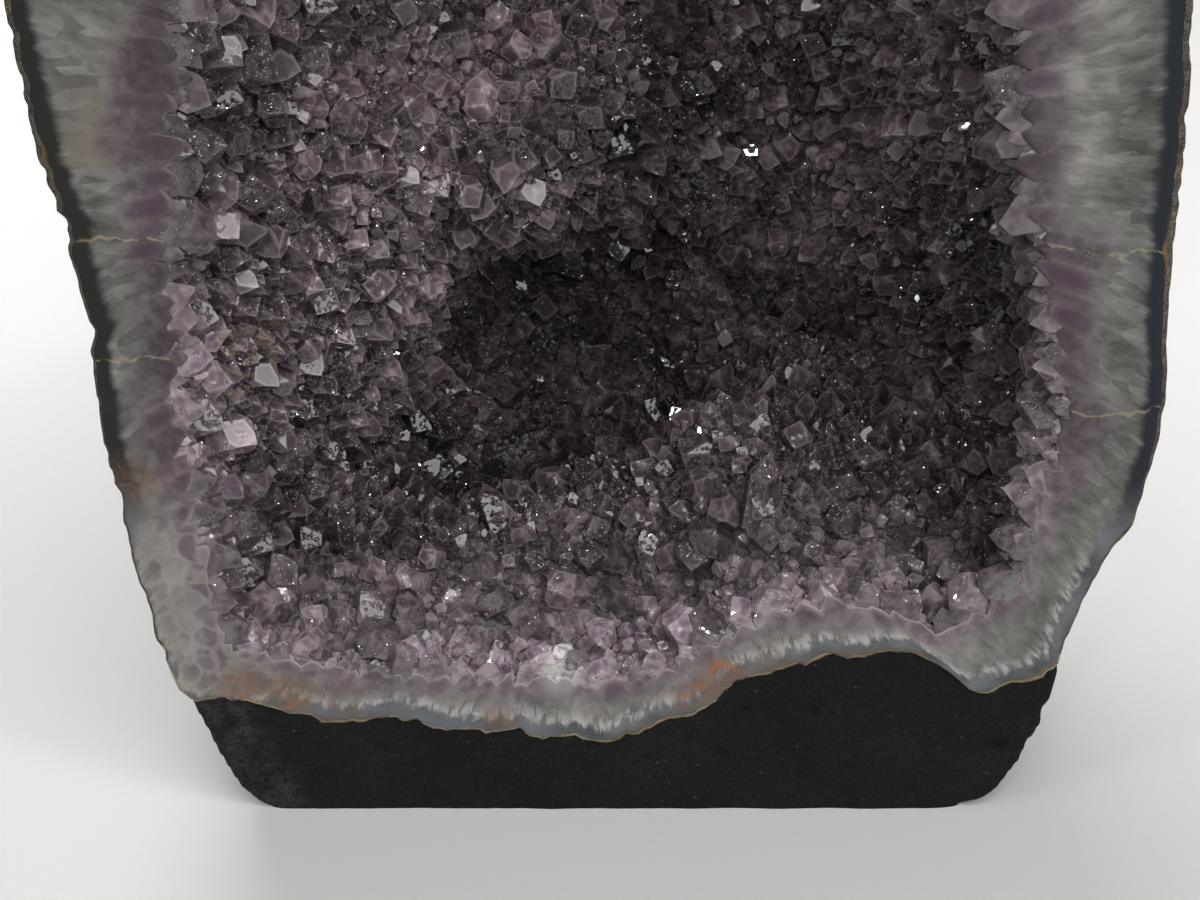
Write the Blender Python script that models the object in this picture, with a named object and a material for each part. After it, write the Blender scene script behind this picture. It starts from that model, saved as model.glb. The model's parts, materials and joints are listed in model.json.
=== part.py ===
"""Amethyst cathedral geode standing in a cast cement base.

A natural rock bowl (agate and white quartz) is sawn open, its hollow is lined with one crust of
amethyst points, and its underside sits in a block of dark cement with a flat bottom.
Metres, +Z up, the sawn and polished face towards -Y, the origin under the middle of the box.
"""

import itertools
import math
import random

import bmesh
import bpy
from mathutils import Vector, geometry, noise

MM = 0.001
DEPTH = 195.0  # from the sawn face to the back of the skin
FRONT = -101.0  # y of the sawn face, half of the depth over the lumps
AXIS_Z = 225.0  # height of the bowl's axis
WALL = 27.0  # rock at the back of the hollow
LIP = 8.0  # crust on the sawn face
CRUST = 13.0  # crust at the back of the hollow, under the points
GAP = 0.45  # between pieces that touch
SIDE_POWER = 0.70  # lower is squarer sides
BACK_POWER = 0.88  # lower is a flatter back
OUTER_ROWS = 14
INNER_ROWS = 9
HALF_COLUMNS_FROM = 0.6  # nearer the back, every second column is left out
SKIN_LUMP = 11.0  # height of the lumps on the rock's skin
SKIN_LUMP_SIZE = 52.0  # from one lump to the next
POINT_SPACING_FRONT = 12.6
POINT_SPACING_DEEP = 9.6
POINT_TRIES = 26000
POINT_RISE = (0.62, 1.05)  # tip over valley, in radii of the point
POINT_LEAN = 0.26  # of a tip to any side, in radii of the point
POINT_SHORTEST_EDGE = 1.1  # cell corners nearer than this are one
POINT_SET_BACK = 1.0  # tips stay this far behind the sawn face

# The sawn face, anticlockwise from the bottom: x, z of the skin, and the width of agate and
# white quartz inside it.
RIM = (
    (-3, 28, 16), (6, 31, 15), (21, 39, 14), (35, 51, 12), (53, 58, 13), (70, 62, 12.5),
    (85, 62, 12), (95.5, 56, 15), (105, 48, 20), (115, 51, 23), (129, 58, 24), (130, 68, 21),
    (133, 82, 21), (137.5, 98, 22), (143.4, 110, 25), (144.8, 127, 25), (145, 146, 27),
    (141.4, 171, 28), (139, 194, 29), (138, 212, 31), (136, 232, 33), (132.5, 258, 32),
    (127, 283, 31), (118, 310, 30), (105, 339, 30), (88, 366, 29), (66, 391, 29),
    (42, 411, 28), (16, 425, 28), (-12, 430, 28), (-40, 424, 28), (-68, 409, 29),
    (-93, 388, 30), (-113, 362, 31), (-128, 334, 32), (-138, 306, 33), (-143, 281, 33),
    (-144.8, 258, 33), (-144.2, 234, 28), (-143, 210, 24), (-139.5, 187, 18),
    (-139, 168, 17), (-139.6, 149, 17), (-140, 130, 18), (-139, 110, 19), (-137, 88, 20),
    (-135, 68, 21), (-133, 51, 21), (-128, 45, 18), (-121, 45, 15), (-96, 38, 15),
    (-66, 36, 12), (-42, 33, 13), (-18, 29, 16),
)

# The hollow's own form: centre, reach and push of each swelling (x, y behind the sawn face, z),
# and the share of it that is in the rock behind the crust.
SWELLINGS = (
    ((44, 58, 60), (92, 38, 44), (0, -2, 30), 0.3),  # floor ledge
    ((-62, 34, 48), (50, 32, 36), (0, 0, 12), 0.3),  # its low left end
    ((30, 112, 88), (84, 28, 34), (0, 12, -16), 0.5),  # crevice behind the ledge
    ((-48, 84, 76), (26, 26, 30), (-4, 10, -16), 0.5),  # crevice at the foot of the left wall
    ((-108, 106, 165), (60, 64, 115), (36, -18, 0), 0.35),  # sloping left wall
    ((-36, 160, 197), (66, 88, 56), (4, -80, -14), 0.3),  # big lobe, upper left of the middle
    ((-20, 122, 124), (62, 40, 26), (0, 18, 0), 0.2),  # shadowed foot of the lobe
    ((118, 62, 150), (44, 44, 92), (10, 0, 0), 1.0),  # undercut right wall
    ((66, 150, 165), (44, 40, 62), (0, 10, 0), 0.6),  # deep pocket, right of the middle
    ((86, 120, 300), (52, 60, 58), (-22, -18, -6), 0.3),  # shoulder in the upper right
    ((-92, 96, 330), (48, 60, 40), (14, -14, -10), 0.3),
)

# The cement block from the table up: z, left x, right x, depth.
BASE_RINGS = (
    (0, -108, 105, 140), (2.5, -113, 112.5, 145), (8, -117, 117, 149), (19, -121, 122, 154),
    (33, -125, 126.5, 157), (45, -128.5, 129, 157), (58, -124, 129.6, 150),
    (76, -104, 108, 128), (98, -78, 84, 98),
)
BASE_SIDE_POINTS = 26
BASE_SIDE_POWER = 0.62  # lower is squarer sides, seen from above
BASE_BACK_POWER = 0.72  # lower is a flatter back
BASE_LUMP = 2.2
BASE_LUMP_SIZE = 24.0
CUTTER_AHEAD = 20.0  # the bed's cutter starts this far before the sawn face

PROFILE_STEPS = 100
MIDDLE_RADIUS = 150.0  # of the bowl, for even steps along its section
MIDDLE_DEPTH = 180.0


def profile_table(steps=400):
    """Points of the bowl's section from the sawn face to the back, even along its length."""
    dense = []
    run = 0.0
    for i in range(steps + 1):
        turn = i / steps * math.pi / 2
        here = (max(math.cos(turn), 0.0) ** SIDE_POWER, math.sin(turn) ** BACK_POWER)
        if dense:
            wide = (here[0] - dense[-1][1]) * MIDDLE_RADIUS
            deep = (here[1] - dense[-1][2]) * MIDDLE_DEPTH
            run += math.hypot(wide, deep)
        dense.append((run, *here))
    table = []
    k = 0
    for i in range(PROFILE_STEPS + 1):
        want = run * i / PROFILE_STEPS
        while k < steps - 1 and dense[k + 1][0] < want:
            k += 1
        part = (want - dense[k][0]) / (dense[k + 1][0] - dense[k][0])
        table.append([a + (b - a) * part for a, b in zip(dense[k][1:], dense[k + 1][1:])])
    table[PROFILE_STEPS] = [0.0, 1.0]
    return table


PROFILE = profile_table()
COLUMNS = [
    (math.atan2(z - AXIS_Z, x), math.hypot(x, z - AXIS_Z), band) for x, z, band in RIM
]


def section(t):
    """How wide and how deep the bowl is at a share t of its length, 0 at the sawn face."""
    i = min(int(t * PROFILE_STEPS), PROFILE_STEPS - 1)
    part = t * PROFILE_STEPS - i
    return [a + (b - a) * part for a, b in zip(PROFILE[i], PROFILE[i + 1])]


def ease(low, high, value):
    share = min(max((value - low) / (high - low), 0.0), 1.0)
    return share * share * (3 - 2 * share)


def bowl(angle, t, radius, depth):
    wide, deep = section(t)
    return Vector(
        (
            radius * wide * math.cos(angle),
            FRONT + depth * deep,
            AXIS_Z + radius * wide * math.sin(angle),
        )
    )


def inner_radius(angle):
    """Distance of the white quartz's inner edge from the axis, on the sawn face."""
    ordered = sorted(COLUMNS)
    ordered = [(ordered[-1][0] - 2 * math.pi, *ordered[-1][1:])] + ordered
    ordered.append((ordered[1][0] + 2 * math.pi, *ordered[1][1:]))
    for (a, r, w), (b, s, v) in zip(ordered, ordered[1:]):
        if a <= angle <= b:
            part = (angle - a) / (b - a)
            return (r - w) * (1 - part) + (s - v) * part
    raise ValueError(angle)


def swell(place, t, in_rock):
    """The hollow's surface moved by the swellings, which fade out at the sawn face."""
    moved = place.copy()
    for centre, reach, push, share in SWELLINGS:
        away = [
            (place.x - centre[0]) / reach[0],
            (place.y - FRONT - centre[1]) / reach[1],
            (place.z - centre[2]) / reach[2],
        ]
        near = math.exp(-sum(a * a for a in away)) * ease(0.0, 0.16, t)
        moved += Vector(push) * near * (share if in_rock else 1.0)
    return moved


def hollow(angle, t):
    """The valleys between the points."""
    thick = LIP + (CRUST - LIP) * ease(0.0, 0.3, t)
    place = bowl(angle, t, inner_radius(angle) - thick, DEPTH - WALL - CRUST)
    return swell(place, t, False)


def rows_of(count):
    """Shares of the bowl's length for a number of rows, closer together at the sawn face."""
    return [(i / count) ** 1.1 for i in range(count)]


def skin_point(angle, radius, t):
    place = bowl(angle, t, radius, DEPTH)
    lump = noise.fractal(place / SKIN_LUMP_SIZE + Vector((3.1, 7.7, 1.3)), 0.9, 2.1, 3)
    out = (place - Vector((0, FRONT + 20, AXIS_Z))).normalized()
    rise = SKIN_LUMP * lump * ease(0.0, 0.14, t)
    return place + out * min(rise, SKIN_LUMP * 0.8)


def inner_point(angle, radius, t, gap):
    return swell(bowl(angle, t, radius - gap, DEPTH - WALL - gap), t, True)


def net(bm, place_of, rows):
    """A bowl closed at the back. Returns its ring of corners on the sawn face."""
    rings = []
    for t in rows:
        ring = []
        for angle, radius, band in COLUMNS[:: 2 if t > HALF_COLUMNS_FROM else 1]:
            ring.append(bm.verts.new(place_of(angle, radius, band, t)))
        rings.append(ring)
    pole = bm.verts.new(place_of(0.0, MIDDLE_RADIUS, 0.0, 1.0))
    for near, far in zip(rings, rings[1:]):
        join_rings(bm, near, far)
    for a, b in zip(rings[-1], rings[-1][1:] + rings[-1][:1]):
        bm.faces.new((a, b, pole))
    quads = [face for face in bm.faces if len(face.verts) == 4]
    bmesh.ops.triangulate(bm, faces=quads, quad_method="FIXED")
    return rings[0]


def join_rings(bm, near, far):
    """Faces between two rings with as many corners, or twice as many in the near one."""
    step = len(near) // len(far)
    for i in range(len(far)):
        a, b = near[step * i], near[(step * i + step) % len(near)]
        c, d = far[(i + 1) % len(far)], far[i]
        if step == 1:
            bm.faces.new((a, b, c, d))
            continue
        middle = near[step * i + 1]
        bm.faces.new((a, middle, d))
        bm.faces.new((middle, b, c))
        bm.faces.new((middle, c, d))


def ring_edges(bm, ring):
    return [bm.edges.get(pair) for pair in zip(ring, ring[1:] + ring[:1])]


def outer_net(bm):
    return net(bm, lambda angle, radius, band, t: skin_point(angle, radius, t), rows_of(OUTER_ROWS))


def inner_net(bm, gap):
    return net(
        bm,
        lambda angle, radius, band, t: inner_point(angle, radius - band, t, gap),
        rows_of(INNER_ROWS),
    )


def shell_mesh():
    """The rock: skin outside, smooth bowl inside, joined across the sawn face."""
    bm = bmesh.new()
    join_rings(bm, outer_net(bm), inner_net(bm, 0.0))
    return bm


def point_sites(rng):
    """Where points grow, as (angle, t), no two closer than the spacing there."""
    sites = []
    boxes = {}
    for _ in range(POINT_TRIES):
        angle = rng.uniform(-math.pi, math.pi)
        t = 1 - math.sqrt(rng.random()) * 0.98
        place = hollow(angle, t)
        apart = POINT_SPACING_DEEP
        apart += (POINT_SPACING_FRONT - POINT_SPACING_DEEP) * (1 - ease(0.0, 0.35, t))
        key = [math.floor(c / POINT_SPACING_FRONT) for c in place]
        close = []
        for shift in itertools.product((-1, 0, 1), repeat=3):
            close += boxes.get(tuple(k + s for k, s in zip(key, shift)), [])
        if any((place - other).length < apart for other in close):
            continue
        sites.append((angle, t))
        boxes.setdefault(tuple(key), []).append(place)
    return sites


def cell_corners(sites):
    """Voronoi cells of the sites on the flattened bowl: corner list and cells of corner indices."""
    flat = [Vector(((1 - t) * math.cos(a), (1 - t) * math.sin(a))) for a, t in sites]
    fence = [p * ((2 - p.length) / p.length) for p in flat if p.length > 0.75]
    verts, _, faces, *_ = geometry.delaunay_2d_cdt(flat + fence, [], [], 0, 1e-7)
    corners = []
    around = {i: [] for i in range(len(flat))}
    for a, b, c in faces:
        p, q, r = verts[a], verts[b], verts[c]
        d = 2 * (p.x * (q.y - r.y) + q.x * (r.y - p.y) + r.x * (p.y - q.y))
        x = p.length_squared * (q.y - r.y) + q.length_squared * (r.y - p.y)
        y = p.length_squared * (r.x - q.x) + q.length_squared * (p.x - r.x)
        x += r.length_squared * (p.y - q.y)
        y += r.length_squared * (q.x - p.x)
        for v in (a, b, c):
            if v in around:
                around[v].append(len(corners))
        corners.append(Vector((x / d, y / d)))
    cells = []
    for i, ring in around.items():
        middle = verts[i]
        ring.sort(key=lambda k: math.atan2(corners[k].y - middle.y, corners[k].x - middle.x))
        cells.append(ring)
    return corners, cells


def crust_mesh():
    """One crust of fused points: each cell of the hollow's surface is raised to a tip."""
    rng = random.Random(11)
    bm = bmesh.new()
    corners, cells = cell_corners(point_sites(rng))
    used = sorted({k for ring in cells for k in ring})
    made = {}
    for k in used:
        flat = corners[k]
        edge = flat.length > 0.975
        t = 0.0 if edge else 1 - flat.length
        made[k] = bm.verts.new(hollow(math.atan2(flat.y, flat.x), t))
    for ring in cells:
        bm.faces.new([made[k] for k in ring])
    bmesh.ops.remove_doubles(bm, verts=bm.verts[:], dist=POINT_SHORTEST_EDGE)
    bmesh.ops.dissolve_degenerate(bm, edges=bm.edges[:], dist=0.2)
    axis = Vector((0, FRONT + 40, AXIS_Z))
    for face in bm.faces:
        face.normal_update()
        if face.normal.dot(axis - face.calc_center_median()) < 0:
            face.normal_flip()
    faces = bm.faces[:]
    lifts = []
    for face in faces:
        size = math.sqrt(face.calc_area() / math.pi)
        lean = Vector([rng.uniform(-POINT_LEAN, POINT_LEAN) for _ in range(3)])
        lifts.append((face.normal * rng.uniform(*POINT_RISE) + lean) * size)
    tips = bmesh.ops.poke(bm, faces=faces, center_mode="MEAN")["verts"]
    for tip, lift in zip(tips, lifts):
        tip.co += lift
        tip.co.y = max(tip.co.y, FRONT + POINT_SET_BACK)
    ring = [edge for edge in bm.edges if edge.is_boundary]
    ring += ring_edges(bm, inner_net(bm, GAP))
    filled = bmesh.ops.triangle_fill(bm, use_beauty=True, edges=ring, normal=(0, -1, 0))
    if not filled["geom"]:
        raise ValueError("the crust's sawn edge wasn't filled")
    return bm


def base_mesh():
    """The cement block before the rock's bed is cut in it: flat front and bottom, rounded back."""
    bm = bmesh.new()
    rings = []
    for level, (z, left, right, depth) in enumerate(BASE_RINGS):
        ring = []
        for i in range(BASE_SIDE_POINTS + 1):
            turn = math.pi * i / BASE_SIDE_POINTS
            wide = math.copysign(abs(math.cos(turn)) ** BASE_SIDE_POWER, math.cos(turn))
            deep = max(math.sin(turn), 0.0) ** BASE_BACK_POWER
            if i in (0, BASE_SIDE_POINTS):
                deep = 0.0
            place = Vector(
                ((left + right) / 2 + (right - left) / 2 * wide, FRONT + depth * deep, z)
            )
            lump = BASE_LUMP * noise.noise(place / BASE_LUMP_SIZE) * min(level, 1) * ease(0, 0.3, deep)
            place += Vector((wide, deep, 0)).normalized() * lump
            ring.append(bm.verts.new(place))
        rings.append(ring)
    for low, high in zip(rings, rings[1:]):
        join_rings(bm, low, high)
    bm.faces.new(rings[0])
    bm.faces.new(rings[-1])
    return bm


def cutter_mesh():
    """The rock's outer form with the gap added, carried forward past the sawn face."""
    bm = bmesh.new()
    ring = ring_edges(bm, outer_net(bm))
    bmesh.ops.recalc_face_normals(bm, faces=bm.faces[:])
    bm.normal_update()
    middle = Vector((0, FRONT, AXIS_Z))
    for vert in bm.verts:
        out = vert.normal.copy()
        if vert.co.y < FRONT + 0.01:
            out.y = 0.0
        if out.dot(vert.co - middle) < 0:
            out.negate()
        vert.co += out.normalized() * GAP
    pulled = bmesh.ops.extrude_edge_only(bm, edges=ring)["geom"]
    for vert in (v for v in pulled if isinstance(v, bmesh.types.BMVert)):
        vert.co.y -= CUTTER_AHEAD
    bmesh.ops.contextual_create(bm, geom=[e for e in pulled if isinstance(e, bmesh.types.BMEdge)])
    return bm


def material(name, colour, roughness, transmission=0.0):
    made = bpy.data.materials.new(name)
    made.use_nodes = True
    shader = made.node_tree.nodes["Principled BSDF"]
    shader.inputs["Base Color"].default_value = (*colour, 1)
    shader.inputs["Roughness"].default_value = roughness
    shader.inputs["Transmission Weight"].default_value = transmission
    made.diffuse_color = (*colour, 1)
    return made


def add_object(name, bm, collection, surface=None):
    bmesh.ops.triangulate(bm, faces=bm.faces[:])
    bmesh.ops.recalc_face_normals(bm, faces=bm.faces[:])
    bmesh.ops.scale(bm, vec=(MM, MM, MM), verts=bm.verts[:])
    mesh = bpy.data.meshes.new(name)
    bm.to_mesh(mesh)
    bm.free()
    if surface:
        mesh.materials.append(surface)
    obj = bpy.data.objects.new(name, mesh)
    collection.objects.link(obj)
    return obj


def main():
    for obj in list(bpy.data.objects):
        bpy.data.objects.remove(obj, do_unlink=True)
    scene = bpy.context.scene
    geode = bpy.data.collections.new("amethyst_cathedral_geode")
    helpers = bpy.data.collections.new("helpers")
    scene.collection.children.link(geode)
    scene.collection.children.link(helpers)

    rock = material("banded_rock", (0.30, 0.29, 0.28), 0.45)
    crystal = material("amethyst", (0.24, 0.15, 0.30), 0.15, 0.3)
    cement = material("dark_cement", (0.022, 0.024, 0.023), 0.85)

    add_object("geode_shell", shell_mesh(), geode, rock)
    add_object("crystal_crust", crust_mesh(), geode, crystal)
    base = add_object("cement_base", base_mesh(), geode, cement)

    bed = add_object("rock_bed_cutter", cutter_mesh(), helpers)
    bed.hide_render = True
    bed.display_type = "WIRE"
    cut = base.modifiers.new("rock_bed", "BOOLEAN")
    cut.object = bed
    cut.operation = "DIFFERENCE"
    cut.solver = "EXACT"


main()
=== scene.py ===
"""Looks of the amethyst cathedral geode: rock, polished rim, crystal lining and cement base.

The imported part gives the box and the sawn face. Shapes are worked out in millimetres and scaled once.
"""

import json
import math
from types import SimpleNamespace

import bmesh
import bpy
import numpy as np
from bpy.props import FloatProperty, FloatVectorProperty, IntProperty, PointerProperty
from bpy.types import Operator, Panel, PropertyGroup
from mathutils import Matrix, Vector, kdtree, noise

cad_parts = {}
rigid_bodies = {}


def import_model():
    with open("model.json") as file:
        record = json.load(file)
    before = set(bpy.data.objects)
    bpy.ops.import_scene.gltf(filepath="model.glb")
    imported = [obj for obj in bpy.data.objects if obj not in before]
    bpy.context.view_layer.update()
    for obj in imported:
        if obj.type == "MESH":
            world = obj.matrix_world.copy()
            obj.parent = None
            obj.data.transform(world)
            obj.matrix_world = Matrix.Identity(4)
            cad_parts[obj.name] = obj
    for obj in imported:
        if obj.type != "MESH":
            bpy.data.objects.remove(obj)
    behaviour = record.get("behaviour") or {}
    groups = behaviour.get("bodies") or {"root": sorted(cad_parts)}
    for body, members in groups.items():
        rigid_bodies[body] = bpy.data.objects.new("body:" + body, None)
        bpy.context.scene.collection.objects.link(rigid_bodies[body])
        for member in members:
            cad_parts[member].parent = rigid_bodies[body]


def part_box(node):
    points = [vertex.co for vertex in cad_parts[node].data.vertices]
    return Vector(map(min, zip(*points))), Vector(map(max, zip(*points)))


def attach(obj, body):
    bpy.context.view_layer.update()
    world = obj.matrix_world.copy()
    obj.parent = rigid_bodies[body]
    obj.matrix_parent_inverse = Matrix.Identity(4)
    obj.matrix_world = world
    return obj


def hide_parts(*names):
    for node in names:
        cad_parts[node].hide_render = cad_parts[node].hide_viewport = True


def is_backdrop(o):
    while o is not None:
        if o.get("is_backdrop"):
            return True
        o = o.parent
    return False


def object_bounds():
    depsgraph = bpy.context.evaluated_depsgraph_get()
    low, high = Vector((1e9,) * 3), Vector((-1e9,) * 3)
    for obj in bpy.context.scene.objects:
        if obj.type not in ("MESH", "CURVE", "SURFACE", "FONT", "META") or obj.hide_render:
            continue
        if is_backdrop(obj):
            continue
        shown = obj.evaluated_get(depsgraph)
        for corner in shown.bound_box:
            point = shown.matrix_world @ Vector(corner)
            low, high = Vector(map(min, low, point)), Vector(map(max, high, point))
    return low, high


bl_info = {
    "name": "Amethyst cathedral geode",
    "version": (1, 0, 0),
    "blender": (4, 5, 0),
    "location": "3D View > Sidebar > Geode",
    "description": "Rock, polished rim, crystal lining and cement base round a packed part",
    "category": "Object",
}

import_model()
CAD_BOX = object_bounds()

MM = 0.001
DEPTH = 195.0  # of the rock, behind its sawn face
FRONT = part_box("geode_shell")[0].y / MM  # y of the sawn face
AXIS_Z = 225.0  # height of the middle that the rim is measured round
WALL = 27.0  # thickness of the rock at the back
LIP = 8.0  # thickness of the crust at the rim
CRUST = 13.0  # and deep inside
SIDE_POWER = 0.70  # below 1, fuller sides than a half circle
BACK_POWER = 0.88
SKIN_LUMP = 11.0  # height of the skin's lumps
LUMP_SIZE = 52.0
RIDGE_SIZE = 15.0
CEMENT_LINE = (74, 58)  # between these heights the skin goes down into the cement
ROW_POWER = 1.1  # above 1, the skin's rows lie closer together near the sawn face
BED_GAP = 0.45  # between the crust and the rock
BED_SET_BACK = 0.6  # the crust's own face lies this far behind the polished face
SAWN_STEP = (0.04, 0.14)  # least set back of a sawn crystal, and how far neighbours differ
SAWN_ROOT = 3.8  # the polished face runs this far into the sawn crystals, between their points
SAWN_WIDTH = (3.5, 10.0)  # of the sawn crystals on the polished face's inner edge
SAWN_SHAFT = 3.2  # most length of their straight part
SAWN_SLOPE = (0.25, 0.70)  # height of their tips over their width

# The sawn face, anticlockwise from the bottom: x, z of the skin, and the width of agate and
# white quartz inside it.
RIM = (
    (-3, 28, 16), (6, 31, 15), (21, 39, 14), (35, 51, 12), (53, 58, 13), (70, 62, 12.5),
    (85, 62, 12), (95.5, 56, 15), (105, 48, 20), (115, 51, 23), (129, 58, 24), (130, 68, 21),
    (133, 82, 21), (137.5, 98, 22), (143.4, 110, 25), (144.8, 127, 25), (145, 146, 27),
    (141.4, 171, 28), (139, 194, 29), (138, 212, 31), (136, 232, 33), (132.5, 258, 32),
    (127, 283, 31), (118, 310, 30), (105, 339, 30), (88, 366, 29), (66, 391, 29),
    (42, 411, 28), (16, 425, 28), (-12, 430, 28), (-40, 424, 28), (-68, 409, 29),
    (-93, 388, 30), (-113, 362, 31), (-128, 334, 32), (-138, 306, 33), (-143, 281, 33),
    (-144.8, 258, 33), (-144.2, 234, 28), (-143, 210, 24), (-139.5, 187, 18),
    (-139, 168, 17), (-139.6, 149, 17), (-140, 130, 18), (-139, 110, 19), (-137, 88, 20),
    (-135, 68, 21), (-133, 51, 21), (-128, 45, 18), (-121, 45, 15), (-96, 38, 15),
    (-66, 36, 12), (-42, 33, 13), (-18, 29, 16),
)

# The hollow's own form, as in the solids: centre, reach and push of each swelling, and the
# share of it that is in the rock.
SWELLINGS = (
    ((44, 58, 60), (92, 38, 44), (0, -2, 30), 0.3),  # floor ledge
    ((-62, 34, 48), (50, 32, 36), (0, 0, 12), 0.3),  # its low left end
    ((30, 112, 88), (84, 28, 34), (0, 12, -16), 0.5),  # crevice behind the ledge
    ((-48, 84, 76), (26, 26, 30), (-4, 10, -16), 0.5),  # crevice at the foot of the left wall
    ((-108, 106, 165), (60, 64, 115), (36, -18, 0), 0.35),  # sloping left wall
    ((-36, 160, 197), (66, 88, 56), (4, -80, -14), 0.3),  # big lobe, upper left of the middle
    ((-20, 122, 124), (62, 40, 26), (0, 18, 0), 0.2),  # shadowed foot of the lobe
    ((118, 62, 150), (44, 44, 92), (10, 0, 0), 1.0),  # undercut right wall
    ((66, 150, 165), (44, 40, 62), (0, 10, 0), 0.6),  # deep pocket, right of the middle
    ((86, 120, 300), (52, 60, 58), (-22, -18, -6), 0.3),  # shoulder in the upper right
    ((-92, 96, 330), (48, 60, 40), (14, -14, -10), 0.3),
    ((-12, 86, 78), (58, 17, 24), (0, 7, -13), 1.0),  # deepest line of the crevice, only here
)

# Places where the points and the crust between them are darker or lighter than usual: painted shade in
# the crevices, under the lobe and low in the corners, painted light on the lobe, the left wall and the
# deep pocket, partly also the points' own darker tone deep inside. Centre and reach as above, and how
# much light the colour loses or gains.
PAINTED_LIGHT_SHADE_AND_TONE = (
    ((-55, 68, 72), (26, 26, 14), -0.7),
    ((-5, 84, 76), (50, 17, 17), -0.75),
    ((116, 66, 170), (16, 46, 34), -0.3),
    ((5, 125, 95), (70, 24, 22), -0.35),
    ((-15, 134, 125), (28, 20, 20), -0.35),
    ((-50, 68, 202), (40, 40, 26), 0.6),
    ((-18, 92, 217), (20, 34, 14), 1.6),
    ((4, 106, 190), (30, 44, 28), -0.5),
    ((-60, 80, 160), (38, 40, 36), 0.8),
    ((-38, 105, 138), (24, 40, 24), 0.7),
    ((72, 120, 165), (30, 50, 34), 0.6),
    ((-100, 30, 165), (24, 34, 66), 0.45),
    ((108, 12, 92), (16, 24, 26), -0.5),
    ((75, 110, 220), (60, 60, 70), 0.6),
    ((40, 150, 140), (50, 40, 30), 0.35),
    ((74, 14, 90), (44, 20, 18), -0.4),
    ((-97, 18, 94), (28, 24, 18), -0.65),
)

# The cement block from the table up: z, left x, right x, depth.
BASE_RINGS = (
    (-3, -106, 103, 138), (0, -108, 105, 140), (2.5, -113, 112.5, 145), (8, -117, 117, 149),
    (19, -121, 122, 154), (33, -125, 126.5, 157), (45, -128.5, 129, 157), (58, -124, 129.6, 150),
    (76, -104, 108, 128), (98, -78, 84, 98),
)  # the lowest ring is cut off again at the table

# Stains of iron in the rim: x, z, radius, and their strength.
RUST_SPOTS = (
    (30, 54, 9, 1.0), (-112, 50, 10, 1.0), (-98, 47, 10, 0.9), (-82, 44, 8, 0.5),
    (-37, 38, 8, 0.8), (-133, 125, 10, 0.4), (21, 46, 8, 0.8), (44, 60, 7, 0.4),
)
ARC = (30, 55.5, 3.4)  # bright orange arc of iron: x, z, radius
# Healed cracks across the rim: side, height.
CRACKS = ((1, 194), (1, 145), (-1, 196), (-1, 162), (1, 338), (-1, 300))

STAIN = (-108, 28, 152)  # ochre stain among the points of the left wall: x, depth, z
WHITE_CLUSTER = (-18, 4, 53)  # pale points at the edge of the floor: x, depth, z

CAMERA_AHEAD = 408.7  # of the sawn face
CAMERA_HEIGHT = 398.9
CAMERA_SIDE = -6.0
CAMERA_DOWN = 33.0
CAMERA_LENS = 54.0

AROUND = Vector((3.1, 7.7, 1.3))  # where the skin's lumps are read from the noise


# Form of the bowl


def profile_table():
    """Widths and depths of the bowl's section, even along its length from the sawn face."""
    turn = np.linspace(0.0, math.pi / 2, 401)
    wide = np.maximum(np.cos(turn), 0.0) ** SIDE_POWER
    deep = np.sin(turn) ** BACK_POWER
    step = np.hypot(np.diff(wide) * 150, np.diff(deep) * 180)
    run = np.concatenate([[0.0], np.cumsum(step)])
    even = np.linspace(0.0, run[-1], 101)
    return np.interp(even, run, wide), np.interp(even, run, deep)


WIDE, DEEP = profile_table()


def section(t):
    share = np.linspace(0.0, 1.0, 101)
    return np.interp(t, share, WIDE), np.interp(t, share, DEEP)


def ease(low, high, value):
    share = np.clip((value - low) / (high - low), 0.0, 1.0)
    return share * share * (3 - 2 * share)


def round_curve(knots, values, angle):
    """A smooth closed curve of a value over the angle, through its knots."""
    order = np.argsort(knots)
    a, v = np.asarray(knots)[order], np.asarray(values)[order]
    turn = 2 * math.pi
    a = np.concatenate([a[-2:] - turn, a, a[:2] + turn])
    v = np.concatenate([v[-2:], v, v[:2]])
    slope = np.zeros_like(v)
    slope[1:-1] = (v[2:] - v[:-2]) / (a[2:] - a[:-2])
    i = np.clip(np.searchsorted(a, angle, side="right") - 1, 1, len(a) - 3)
    width = a[i + 1] - a[i]
    s = (angle - a[i]) / width
    return (
        v[i] * (1 + 2 * s) * (1 - s) ** 2
        + v[i + 1] * s * s * (3 - 2 * s)
        + width * (slope[i] * s * (1 - s) ** 2 - slope[i + 1] * s * s * (1 - s))
    )


RIM_X, RIM_Z, RIM_BAND = (np.array(column, float) for column in zip(*RIM))
RIM_ANGLE = np.arctan2(RIM_Z - AXIS_Z, RIM_X)
RIM_RADIUS = np.hypot(RIM_X, RIM_Z - AXIS_Z)


def outer_radius(angle):
    return round_curve(RIM_ANGLE, RIM_RADIUS, angle)


def inner_radius(angle):
    return round_curve(RIM_ANGLE, RIM_RADIUS - RIM_BAND, angle)


def ring(angle, radius, y):
    """Places round the geode's middle, with a radius and a y for each angle."""
    return np.stack([radius * np.cos(angle), y, AXIS_Z + radius * np.sin(angle)], axis=1)


def bowl(angle, t, radius, depth):
    """Places on a bowl that opens at the sawn face, from its rim, t = 0, to its back, t = 1."""
    wide, deep = section(t)
    return ring(angle, radius * wide, FRONT + depth * deep)


def nearness(places, centre, reach):
    """1 at a centre given as x, depth, z, and less with the distance over the reach."""
    away = (places - np.array([centre[0], FRONT + centre[1], centre[2]])) / reach
    return np.exp(-(away**2).sum(axis=1))


def swell(places, t, in_rock):
    """The hollow's surface moved by the swellings, which fade out at the sawn face."""
    moved = places.copy()
    fade = ease(0.0, 0.16, t)
    for centre, reach, push, share in SWELLINGS:
        near = nearness(places, centre, reach) * fade * (share if in_rock else 1.0)
        moved += near[:, None] * np.array(push, float)
    return moved


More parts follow.
